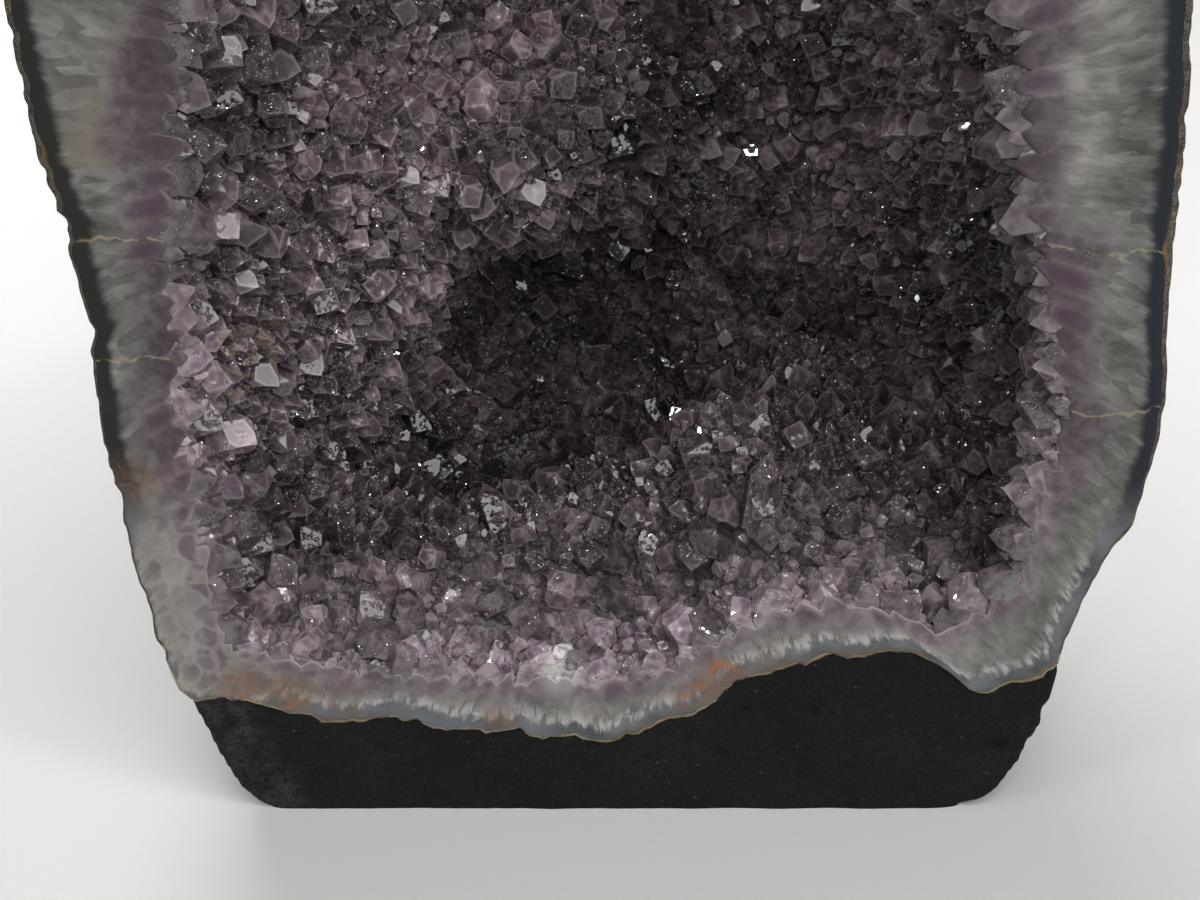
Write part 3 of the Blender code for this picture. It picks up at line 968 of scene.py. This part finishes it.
def edge_distances(face):
    """For each corner of a triangle, its distance to the three sides that are sharp edges."""
    rows = np.zeros((3, 3))
    for k, loop in enumerate(face.loops):
        side = loop.link_loop_next.edge
        a, b = (v.co for v in side.verts)
        if side.calc_face_angle(math.pi) < math.radians(6):
            rows[:, k] = 9.0
        else:
            rows[k, k] = (loop.vert.co - a).cross(b - a).length / max((b - a).length, 1e-6)
    return rows


def scatter_net(settings):
    """The hollow's surface as a dense net of places and normals, to pick sites from."""
    around, along = 520, 300
    angle, t = np.meshgrid(
        np.linspace(-math.pi, math.pi, around + 1), np.linspace(0.0, 0.997, along + 1)
    )
    places = hollow(angle.ravel(), t.ravel(), settings.druse / MM)
    return places.reshape(along + 1, around + 1, 3)


def pick_sites(rng, net, count):
    """Places and normals spread evenly by area over the net."""
    a, b, c, d = net[:-1, :-1], net[:-1, 1:], net[1:, 1:], net[1:, :-1]
    cross = np.cross(c - a, d - b)
    area = np.linalg.norm(cross, axis=2).ravel()
    chosen = rng.choice(len(area), count, p=area / area.sum())
    u, v = rng.random(count)[:, None], rng.random(count)[:, None]
    flat = [corner.reshape(-1, 3)[chosen] for corner in (a, b, c, d)]
    places = (flat[0] * (1 - u) + flat[1] * u) * (1 - v) + (flat[3] * (1 - u) + flat[2] * u) * v
    normals = cross.reshape(-1, 3)[chosen] / area[chosen][:, None]
    into_hollow = np.sign((normals * inward(places)).sum())
    return places, normals * into_hollow


def tree_of(places):
    tree = kdtree.KDTree(len(places))
    for i, place in enumerate(places):
        tree.insert(place, i)
    tree.balance()
    return tree


def spread_out(places, apart, taken, clear):
    """Indices of places that keep their distance to one another and to the ones taken."""
    tree = tree_of(places)
    gone = np.zeros(len(places), bool)
    for place, reach in zip(taken, clear):
        for _, j, _ in tree.find_range(place, reach):
            gone[j] = True
    kept = []
    for i, place in enumerate(places):
        if gone[i]:
            continue
        kept.append(i)
        for _, j, _ in tree.find_range(place, apart[i]):
            gone[j] = True
    return np.array(kept)


def turned_to(rng, axis, lean):
    """Rotation matrices that point +Z along each axis, leaned and spun at random."""
    count = len(axis)
    loose = axis + rng.normal(0, 1, (count, 3)) * math.tan(lean) * 0.55
    up = loose / np.linalg.norm(loose, axis=1)[:, None]
    side = np.cross(up, rng.normal(0, 1, (count, 3)))
    side /= np.linalg.norm(side, axis=1)[:, None]
    return np.stack([side, np.cross(up, side), up], axis=2)


def skin_tree():
    """The rock's outer skin as a tree of places, to keep the roots inside the rock."""
    angle, t = np.meshgrid(np.linspace(-math.pi, math.pi, 181), np.linspace(0.0, 1.0, 61))
    angle, t = angle.ravel(), t.ravel()
    return tree_of(skin(angle, t, outer_radius(angle), 1.0))


def root_lengths(places, normals, axes, radius):
    """Length of each point's root in its radii, and which roots stay inside the crust."""
    tree = tree_of(places)

    def comes_out(length):
        roots = places - axes * (radius * length)[:, None]
        near = np.array([tree.find(root)[1] for root in roots])
        return ((roots - places[near]) * normals[near]).sum(axis=1) > 0.0

    return np.where(comes_out(GROWN * 0.75), SHORT_ROOT, GROWN), ~comes_out(SHORT_ROOT * 0.9)


def grow_points(rng, shapes, places, normals, radius, lean, rock_skin):
    """Arrays of corners, triangles, growth and tone of the points at the sites given."""
    turn = turned_to(rng, normals, lean)
    cover = np.array([rock_skin.find(place)[2] for place in places]) - ROOT_COVER
    radius = np.clip(radius, 1.0, np.maximum(cover / 1.7, 1.0))
    length, stays = root_lengths(places, normals, turn[:, :, 2], radius)
    length = np.minimum(length, np.maximum(cover / radius, LEAST_ROOT))
    rise = rng.uniform(0.75, 1.35, len(places)) * radius
    tips = places + normals * rise[:, None]
    stretch = rng.uniform(0.9, 1.2, len(places))
    tone = rng.random(len(places))
    kind = rng.integers(len(shapes), size=len(places))
    corners, triangles, growth, tones, edges = [], [], [], [], []
    start = 0
    for k, (shape, faces, sides) in enumerate(shapes):
        own = np.flatnonzero((kind == k) & stays)
        if not len(own):
            continue
        grown = shape[None] * radius[own][:, None, None]
        grown[:, :, 2] *= stretch[own][:, None]
        ends = shape[:, 2] < 0.2 - GROWN
        grown[:, ends, 2] = -(length * radius)[own][:, None]
        placed = np.einsum("nij,nkj->nki", turn[own], grown) + tips[own][:, None]
        corners.append(placed.reshape(-1, 3))
        offset = start + np.arange(len(own))[:, None, None] * len(shape)
        triangles.append((faces[None] + offset).reshape(-1, 3))
        growth.append(np.tile(1 + shape[:, 2] / GROWN, len(own)))
        tones.append(np.repeat(tone[own], len(shape)))
        edges.append(np.tile(sides.reshape(-1, 3), (len(own), 1)))
        start += len(own) * len(shape)
    return [np.concatenate(part) for part in (corners, triangles, growth, tones, edges)]


def joined(parts):
    """One set of arrays from several, with the corner numbers of each moved past the last."""
    start = 0
    for part in parts:
        part[1] = part[1] + start
        start += len(part[0])
    return [np.concatenate(values) for values in zip(*parts)]


def points_mesh(name, corners, triangles, growth, tones, edges):
    used, index = np.unique(triangles, return_inverse=True)
    mesh = bpy.data.meshes.new(name)
    corners = corners[used]
    mesh.from_pydata((corners * MM).tolist(), [], index.reshape(-1, 3).tolist())
    across, up = corners[:, 0], corners[:, 2] - AXIS_Z
    inset = inner_radius(np.arctan2(up, across)) - np.hypot(across, up)
    # painted light and shade on the points, partly their own darker tone deep inside
    painted_light_shade_and_tone = painted_light_shade_and_tone_at(corners)
    add_values(mesh, {"grow": growth[used], "tone": tones[used], "inset": inset, "painted_light_shade_and_tone": painted_light_shade_and_tone})
    layer = mesh.attributes.new("edges", "FLOAT_VECTOR", "CORNER")
    layer.data.foreach_set("vector", edges.astype(np.float32).ravel())
    return mesh


def saw_off(mesh):
    """Cuts the points at the sawn face and closes each cut, a hair behind the polished rock."""
    bm = bmesh.new()
    bm.from_mesh(mesh)
    edges = cut_edges(bm, (0, FRONT * MM, 0), (0, -1, 0))
    bmesh.ops.holes_fill(bm, edges=edges, sides=0)
    tone = bm.verts.layers.float["tone"]
    for vert in bm.verts:
        if vert.co.y < (FRONT + 0.01) * MM:
            vert.co.y += (SAWN_STEP[0] + vert[tone] * SAWN_STEP[1]) * MM
    bmesh.ops.triangulate(bm, faces=[f for f in bm.faces if len(f.verts) > 3])
    bmesh.ops.recalc_face_normals(bm, faces=bm.faces[:])
    bm.to_mesh(mesh)
    bm.free()


def crystal_finish(settings, name, clear, milk):
    """Amethyst: milky root, purple tip, clear enough to see into, with small flashes inside, painted
    shade deep inside and between the points, and painted highlights along the edges.
    """
    f = Finish(name)
    grow = f.attribute("grow")
    tone = f.attribute("tone")
    inset = f.attribute("inset")
    painted_light_shade_and_tone = f.attribute("painted_light_shade_and_tone")
    _, y, z = f.axes(f.objects)
    behind = y - FRONT * MM
    cloud = f.noise(f.objects, 60.0, 0.0, 0.6)
    veil = f.noise(f.objects, 260.0, 1.0, 0.65)
    fine = f.noise(f.objects, 700.0, 0.0, 0.6)
    white = (inset + behind * 220.0 + (cloud - 0.5) * 13.0 + (veil - 0.5) * 7.0).above(9.5, 2.0)
    wall = z.above(0.100, 0.160)
    high = z.above(0.150, 0.195) * behind.above(0.034, 0.010)
    white = white * (1 - wall * 0.6)
    lilac = f.mix(veil.above(0.35, 0.65), settings.tip, settings.lilac)
    colour = f.mix(white * 0.9, lilac, settings.root)
    # Deeper inside, the points turn darker: partly their deeper purple, partly painted shade of the
    # deep hollow; their lower halves are nearly black, painted shade between the points.
    deep_and_shaded = f.mix(veil.above(0.42, 0.76), (0.104, 0.073, 0.085), (0.28, 0.225, 0.246))
    deep_and_shaded = f.mix(grow.above(0.50, 0.95), (0.029, 0.020, 0.025), deep_and_shaded)
    deep_and_shaded = f.tint(deep_and_shaded, 0.6 + cloud.above(0.35, 0.7) * 0.9)
    deep_and_shaded_share = (behind + wall * 0.014).above(0.008, 0.040)
    colour = f.mix(deep_and_shaded_share * 0.97, colour, deep_and_shaded)
    away = f.away_from(STAIN) + (cloud - 0.5) * 0.03
    stain = away.above(0.016, 0.006) * veil.above(0.48, 0.58)
    colour = f.mix(stain * 0.5, colour, (0.25, 0.165, 0.095))
    away = f.away_from(WHITE_CLUSTER) + (veil - 0.5) * 0.005
    colour = f.mix(away.above(0.0085, 0.0060) * 0.75, colour, (0.56, 0.535, 0.51))
    # Pale lines along the points' sharp edges: painted edge highlights, partly the paler chipped edges.
    sides = f.axes(f.node("ShaderNodeAttribute", {"attribute_name": "edges"}, output="Vector"))
    side = sides[0].least(sides[1].least(sides[2]))
    line = (side + (veil - 0.5) * 0.12).above(0.17, 0.0)
    colour = f.mix(line * (0.30 + white * 0.20), colour, f.tint(settings.lilac, 1.2))
    # random tone per point, and the painted light and shade of the places listed at the top
    colour = f.tint(colour, (0.50 + tone * 1.00) * (1 - high * 0.5) * painted_light_shade_and_tone * milk)
    large = tone.above(0.72, 0.74)
    glint = f.cells(f.objects, 2700.0 - large * 1700.0, "F1", "Color")
    share = veil.above(0.53, 0.57) * large + fine.above(0.48, 0.51) * tone.above(0.62, 0.60)
    surface = f.node("ShaderNodeNewGeometry", output="Normal")
    shake = f.vector("SCALE", f.vector("SUBTRACT", glint, (0.5, 0.5, 0.5)), scale=share)
    shaken = f.vector("ADD", surface, shake)
    f.set(
        Base_Color=colour,
        Roughness=0.03 + fine.above(0.52, 0.78) * 0.16,
        IOR=1.544,
        Transmission_Weight=clear,
        Normal=f.vector("NORMALIZE", shaken),
    )
    return f.material


def bed_finish(settings):
    f = Finish("crystal_crust_bed")
    grow = f.attribute("grow")
    _, y, _ = f.axes(f.objects)
    behind = y - FRONT * MM
    grain = f.noise(f.objects, 500.0, 1.0, 0.6)
    pale = f.mix(grow.above(0.05, 0.5), (0.26, 0.23, 0.245), (0.125, 0.098, 0.110))
    # A little behind the sawn face the crust turns nearly black: painted shade between and under the
    # points, on its own dark purple.
    colour = f.mix(behind.above(0.0007, 0.02), pale, settings.deep)
    near_white = f.away_from(WHITE_CLUSTER).above(0.012, 0.008)
    colour = f.mix(near_white * 0.8, colour, (0.46, 0.44, 0.42))
    f.set(
        Base_Color=f.tint(colour, (0.5 + grain) * f.attribute("painted_light_shade_and_tone")),
        Roughness=0.5,
        Normal=f.bump(grain, 0.0015, 0.8),
    )
    return f.material


# Where the lining is parted, so that no piece is too heavy: name and test of a place.
ZONES = (
    ("points_rim", lambda p: p[:, 1] < FRONT + 12),
    ("points_floor", lambda p: p[:, 2] < 104),
    ("points_left_wall", lambda p: (p[:, 0] < -48) & (p[:, 2] < 250)),
    ("points_right_wall", lambda p: (p[:, 0] > 62) & (p[:, 2] < 250)),
    ("points_middle", lambda p: p[:, 2] < 250),
    ("points_upper", lambda p: p[:, 2] >= 250),
)

RIM_MIX = 22.0  # over this depth, frosted points give way to clear ones

TAKEN_REACH = 0.62  # smaller points keep this far from a larger one, in its radii

# Sizes of points: radius in the large point's radii, least and most, candidates, spacing in its
# own radii.
SIZES = (
    (0.80, 1.45, 26000, 1.0),
    (0.46, 0.72, 80000, 0.95),
    (0.22, 0.38, 190000, 1.0),
)


def sites_of_size(rng, net, settings, size, taken, reach):
    """Places, normals and radii of the points of one size, clear of each other and the rest."""
    low, high, count, apart = size
    places, normals = pick_sites(rng, net, count)
    depth = ease(0.0, 60.0, places[:, 1] - FRONT)
    usual = settings.front_radius + (settings.deep_radius - settings.front_radius) * depth
    radius = usual / MM * rng.uniform(low, high, count)
    kept = spread_out(places, radius * apart * settings.spacing, taken, reach)
    return places[kept], normals[kept], radius[kept]


def parted(rng, places):
    """For each zone that has any, its name and which of the places are in it."""
    left = np.ones(len(places), bool)
    mixed = places.copy()
    mixed[:, 1] -= rng.random(len(places)) * RIM_MIX
    for name, inside in ZONES:
        own = left & inside(mixed)
        left &= ~own
        if own.any():
            yield name, own


class GEODE_OT_crystals(Operator):
    """Crystal crust and the points grown on it"""

    bl_idname = "geode.crystals"
    bl_label = "Crystals"

    def execute(self, context):
        settings = context.scene.geode_crystals
        bed = net_mesh("crystal_bed", BED_COLUMNS, sum(BED_ROWS), bed_places(settings))
        shade_smooth(bed)
        bed_piece = add_piece("crystal_bed", bed, "amethyst", bed_finish(settings))
        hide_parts("crystal_crust")

        rng = np.random.default_rng(settings.seed)
        shapes = [quartz_point(rng) for _ in range(POINT_SHAPES)]
        net = scatter_net(settings)
        rock_skin = skin_tree()
        frosted = crystal_finish(settings, "frosted_amethyst", 0.32, 0.88)
        clear = crystal_finish(settings, "clear_amethyst", 0.5, 0.80)
        taken, reach = np.empty((0, 3)), np.empty(0)
        grown = {name: [] for name, _ in ZONES}
        for size in SIZES:
            places, normals, radius = sites_of_size(rng, net, settings, size, taken, reach)
            taken = np.concatenate([taken, places])
            reach = np.concatenate([reach, radius * TAKEN_REACH])
            for name, own in parted(rng, places):
                sites = (places[own], normals[own], radius[own])
                grown[name].append(grow_points(rng, shapes, *sites, settings.lean, rock_skin))
        for name, parts in grown.items():
            mesh = points_mesh(name, *joined(parts))
            if name == "points_rim":
                saw_off(mesh)
            add_piece(name, mesh, "amethyst", frosted if name == "points_rim" else clear)
        return {"FINISHED"}


# Cement base


BASE_POINTS = 96  # along each ring, from one corner of the front round the back to the other
BASE_LEVELS = 25
CUTTER_COLUMNS = 200
CUTTER_ROWS = (12, 48)  # ahead of the sawn face, and behind it
CUTTER_AHEAD = 20  # how far the cutter reaches past the sawn face
CUTTER_SUNK = (0.7, 2.4)  # how far it lies inside the skin, and how much more in the cement


def base_ring(bm, settings, z, left, right, depth):
    """One level of the block: straight along its front, round behind, and a little lumpy."""
    corners = []
    for i in range(BASE_POINTS + 1):
        turn = math.pi * i / BASE_POINTS
        wide = math.copysign(abs(math.cos(turn)) ** 0.62, math.cos(turn))
        deep = 0.0 if i in (0, BASE_POINTS) else math.sin(turn) ** 0.72
        place = Vector(((left + right) / 2 + (right - left) / 2 * wide, FRONT + depth * deep, z))
        shallow = min(max(z / 2.5, 0.0), 1.0) * float(ease(0, 0.3, deep))
        lump = 2.2 * noise.noise(place / 24) * shallow
        place += Vector((wide, deep, 0)).normalized() * lump
        place.y = max(place.y, FRONT + settings.recess / MM)
        corners.append(bm.verts.new(place * MM))
    return corners


def cement_block(settings):
    """The block from its rings, the front set back a hair, before the rock's bed is cut in it."""
    bm = bmesh.new()
    columns = [np.array(column, float) for column in zip(*BASE_RINGS)]
    knots = np.linspace(0, 1, len(BASE_RINGS))
    rings = [
        base_ring(bm, settings, *(np.interp(level, knots, column) for column in columns))
        for level in np.linspace(0, 1, BASE_LEVELS)
    ]
    for pair in zip(rings, rings[1:]):
        edges = []
        for corners in pair:
            for a, b in zip(corners, corners[1:] + corners[:1]):
                edges.append(bm.edges.get((a, b)) or bm.edges.new((a, b)))
        bmesh.ops.bridge_loops(bm, edges=edges)
    for corners in (rings[0], rings[-1]):
        bm.faces.new(corners)
    bmesh.ops.recalc_face_normals(bm, faces=bm.faces[:])
    mesh = bpy.data.meshes.new("cement_block")
    bm.to_mesh(mesh)
    bm.free()
    return mesh


def cement_finish(settings):
    f = Finish("dark_sandy_cement")
    x, y, z = f.axes(f.objects)
    grain = f.noise(f.objects, 1500.0, 3.0, 0.75)
    sand = f.cells(f.objects, 900.0)
    mottle = f.noise(f.objects, 30.0, 4.0, 0.6)
    specks = f.noise(f.objects, 700.0, 1.0, 0.5).above(0.74, 0.78)
    wobble = f.noise(f.objects, 70.0, 3.0, 0.6) - 0.5
    slant = (x * -1.0 - z * 0.42 + wobble * 0.012).above(0.090, 0.099)
    rub = slant * f.noise(f.objects, 130.0, 6.0, 0.75).above(0.36, 0.66)
    colour = f.mix(mottle.above(0.35, 0.7) * 0.5, settings.colour, (0.019, 0.020, 0.019))
    colour = f.mix(rub * 0.6, colour, settings.worn)
    colour = f.mix(specks * 0.6, colour, (0.14, 0.14, 0.13))
    f.set(
        Base_Color=f.tint(colour, grain.above(0.30, 0.72) * 0.75 + 0.24),
        Roughness=0.86,
        Specular_IOR_Level=0.15,
        Normal=f.bump(grain * 0.6 + sand * 0.5, 0.0007, 0.9),
    )
    return f.material


class GEODE_OT_cement(Operator):
    """Cement base cast round the rock's underside"""

    bl_idname = "geode.cement"
    bl_label = "Cement base"

    def execute(self, context):
        settings = context.scene.geode_cement
        mesh = cement_block(settings)
        piece = bpy.data.objects.new("cement", mesh)
        context.scene.collection.objects.link(piece)
        cutter_mesh = net_mesh("rock_bed", CUTTER_COLUMNS, sum(CUTTER_ROWS), bed_cutter_places)
        cutter = bpy.data.objects.new("rock_bed", cutter_mesh)
        context.scene.collection.objects.link(cutter)
        cut = piece.modifiers.new("rock_bed", "BOOLEAN")
        cut.object = cutter
        cut.solver = "EXACT"
        remesh = piece.modifiers.new("even", "REMESH")
        remesh.mode = "VOXEL"
        remesh.voxel_size = settings.voxel
        graph = context.evaluated_depsgraph_get()
        made = bpy.data.meshes.new_from_object(piece.evaluated_get(graph))
        bpy.data.objects.remove(piece)
        bpy.data.objects.remove(cutter)
        cut_flat(made)
        roughen(made)
        shade_smooth(made)
        made.name = "cement_block_cast"
        piece = add_piece("cement_block_cast", made, "dark_cement", cement_finish(settings))
        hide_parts("cement_base")
        return {"FINISHED"}


def bed_cutter_places(angle, row):
    """The rock's outer form a little inside its skin, carried forward past the sawn face."""
    first, rest = CUTTER_ROWS
    usual, more = CUTTER_SUNK
    outer = outer_radius(angle)
    radius = outer - more * ease(*CEMENT_LINE, AXIS_Z + outer * np.sin(angle)) - usual
    t = np.clip((row - first) / rest, 0.0, 1.0) ** ROW_POWER
    places = skin(angle, t, radius, 0.0)
    ahead = row < first
    share = np.clip(row / first, 0.0, 1.0)
    wide = np.minimum(share * 2, 1.0)
    forward = np.minimum(2 - share * 2, 1.0)
    places[ahead, 0] = (radius * np.cos(angle) * wide)[ahead]
    places[ahead, 2] = (AXIS_Z + radius * np.sin(angle) * wide)[ahead]
    places[ahead, 1] = (FRONT - CUTTER_AHEAD * forward)[ahead]
    return places, {}


def cut_flat(mesh):
    """Cuts the cast flat at the table."""
    bm = bmesh.new()
    bm.from_mesh(mesh)
    edges = cut_edges(bm, (0, 0, 0), (0, 0, -1))
    bmesh.ops.holes_fill(bm, edges=edges, sides=0)
    bmesh.ops.triangulate(bm, faces=[f for f in bm.faces if len(f.verts) > 4])
    bmesh.ops.recalc_face_normals(bm, faces=bm.faces[:])
    bm.to_mesh(mesh)
    bm.free()


def roughen(mesh):
    """Small hollows, pits and worn edges in the cast surface."""
    corners = corners_of(mesh) / MM
    normals = np.array([v.normal[:] for v in mesh.vertices])
    low = ease(14, 4, corners[:, 2])
    rise = waves(corners, 14) * (0.25 + 0.35 * low) + waves(corners, 4, 3.0) * 0.16
    pits = waves(corners, 5, 8.0)
    rise -= np.clip(pits - 0.52, 0, 1) * 4.5
    worn = ease(92, 118, corners[:, 0]) * ease(56, 30, corners[:, 2])
    rise -= np.clip(waves(corners, 9, 5.0) + 0.1, 0, 1) * 2.6 * worn
    moved = corners + normals * rise[:, None]
    flat = corners[:, 2] < 0.5
    moved[flat, 2] = corners[flat, 2]
    moved[:, 2] = np.maximum(moved[:, 2], 0.0)
    set_corners(mesh, moved)


# Stage


FLOOR_SIZE = 6.0
LIT_PLACE = (0.0, 0.0, 0.14)  # where every lamp points
SPARKS = (
    (0.75, -0.55, 0.85), (-0.25, -0.95, 1.05), (-0.70, -0.55, 0.90), (0.20, -1.15, 0.80),
    (0.35, -0.35, 1.30),
)


def soft_box(name, place, size, watts):
    light = bpy.data.lights.new(name, "AREA")
    light.shape = "SQUARE"
    light.size = size
    light.energy = watts
    lamp = bpy.data.objects.new(name, light)
    lamp.location = place
    lamp.visible_camera = False
    aim = Vector(LIT_PLACE) - Vector(place)
    lamp.rotation_euler = aim.to_track_quat("-Z", "Y").to_euler()
    bpy.context.scene.collection.objects.link(lamp)


def pale_floor(scene, settings):
    bm = bmesh.new()
    bmesh.ops.create_grid(bm, x_segments=1, y_segments=1, size=FLOOR_SIZE)
    mesh = bpy.data.meshes.new("floor")
    bm.to_mesh(mesh)
    bm.free()
    floor = bpy.data.objects.new("floor", mesh)
    scene.collection.objects.link(floor)
    f = Finish("pale_floor")
    grain = f.noise(f.objects, 400.0, 2.0, 0.5)
    _, y, _ = f.axes(f.objects)
    # Lighter towards the back: painted light on the floor behind the piece.
    pale = f.mix(y.above(-0.15, 0.25), settings.floor, settings.far_floor_painted_light)
    f.set(Base_Color=f.tint(pale, 0.98 + grain * 0.03), Roughness=0.6)
    mesh.materials.append(f.material)
    floor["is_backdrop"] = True


def plain_room(scene, strength):
    world = bpy.data.worlds.new("plain_room")
    world.use_nodes = True
    background = world.node_tree.nodes["Background"]
    background.inputs["Color"].default_value = (1.0, 1.0, 1.0, 1.0)
    background.inputs["Strength"].default_value = strength
    scene.world = world


def view_camera(scene):
    """The photograph's camera."""
    data = bpy.data.cameras.new("view_camera")
    data.lens = CAMERA_LENS
    data.sensor_width = 36.0
    data.clip_start = 0.01
    camera = bpy.data.objects.new("view_camera", data)
    camera.location = (CAMERA_SIDE * MM, (FRONT - CAMERA_AHEAD) * MM, CAMERA_HEIGHT * MM)
    camera.rotation_euler = (math.radians(90 - CAMERA_DOWN), 0.0, 0.0)
    scene.collection.objects.link(camera)
    scene.camera = camera


class GEODE_OT_stage(Operator):
    """Pale floor, soft boxes and the camera"""

    bl_idname = "geode.stage"
    bl_label = "Stage"

    def execute(self, context):
        settings = context.scene.geode_stage
        pale_floor(context.scene, settings)
        plain_room(context.scene, settings.sky)
        soft_box("key_box", (0.55, -0.85, 1.20), 1.15, settings.key)
        soft_box("fill_box", (-1.00, -0.80, 1.00), 1.1, settings.fill)
        soft_box("top_box", (0.1, -0.35, 1.7), 1.0, settings.top)
        soft_box("back_box", (-0.45, 1.15, 1.35), 1.2, settings.back)
        for place in SPARKS:
            soft_box("spark_box", place, 0.085, settings.spark)
        view_camera(context.scene)
        context.scene.view_settings.view_transform = "Standard"
        return {"FINISHED"}


class GEODE_PT_panel(Panel):
    bl_idname = "GEODE_PT_panel"
    bl_label = "Amethyst cathedral geode"
    bl_space_type = "VIEW_3D"
    bl_region_type = "UI"
    bl_category = "Geode"

    def draw(self, context):
        for step in STEPS:
            self.layout.operator(step.bl_idname)


SETTINGS = {
    "geode_rock": GeodeRockSettings,
    "geode_crystals": GeodeCrystalSettings,
    "geode_cement": GeodeCementSettings,
    "geode_stage": GeodeStageSettings,
}
STEPS = (GEODE_OT_rock, GEODE_OT_crystals, GEODE_OT_cement, GEODE_OT_stage)
CLASSES = (*SETTINGS.values(), *STEPS, GEODE_PT_panel)


def register():
    for item in CLASSES:
        bpy.utils.register_class(item)
    for name, group in SETTINGS.items():
        setattr(bpy.types.Scene, name, PointerProperty(type=group))


def unregister():
    for name in SETTINGS:
        delattr(bpy.types.Scene, name)
    for item in reversed(CLASSES):
        bpy.utils.unregister_class(item)


def main():
    register()
    for step in STEPS:
        group, name = step.bl_idname.split(".")
        getattr(getattr(bpy.ops, group), name)()
    boxes = {"cad": CAD_BOX, "visual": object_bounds()}
    {key: [list(corner) for corner in box] for key, box in boxes.items()}


if __name__ == "__main__":
    main()
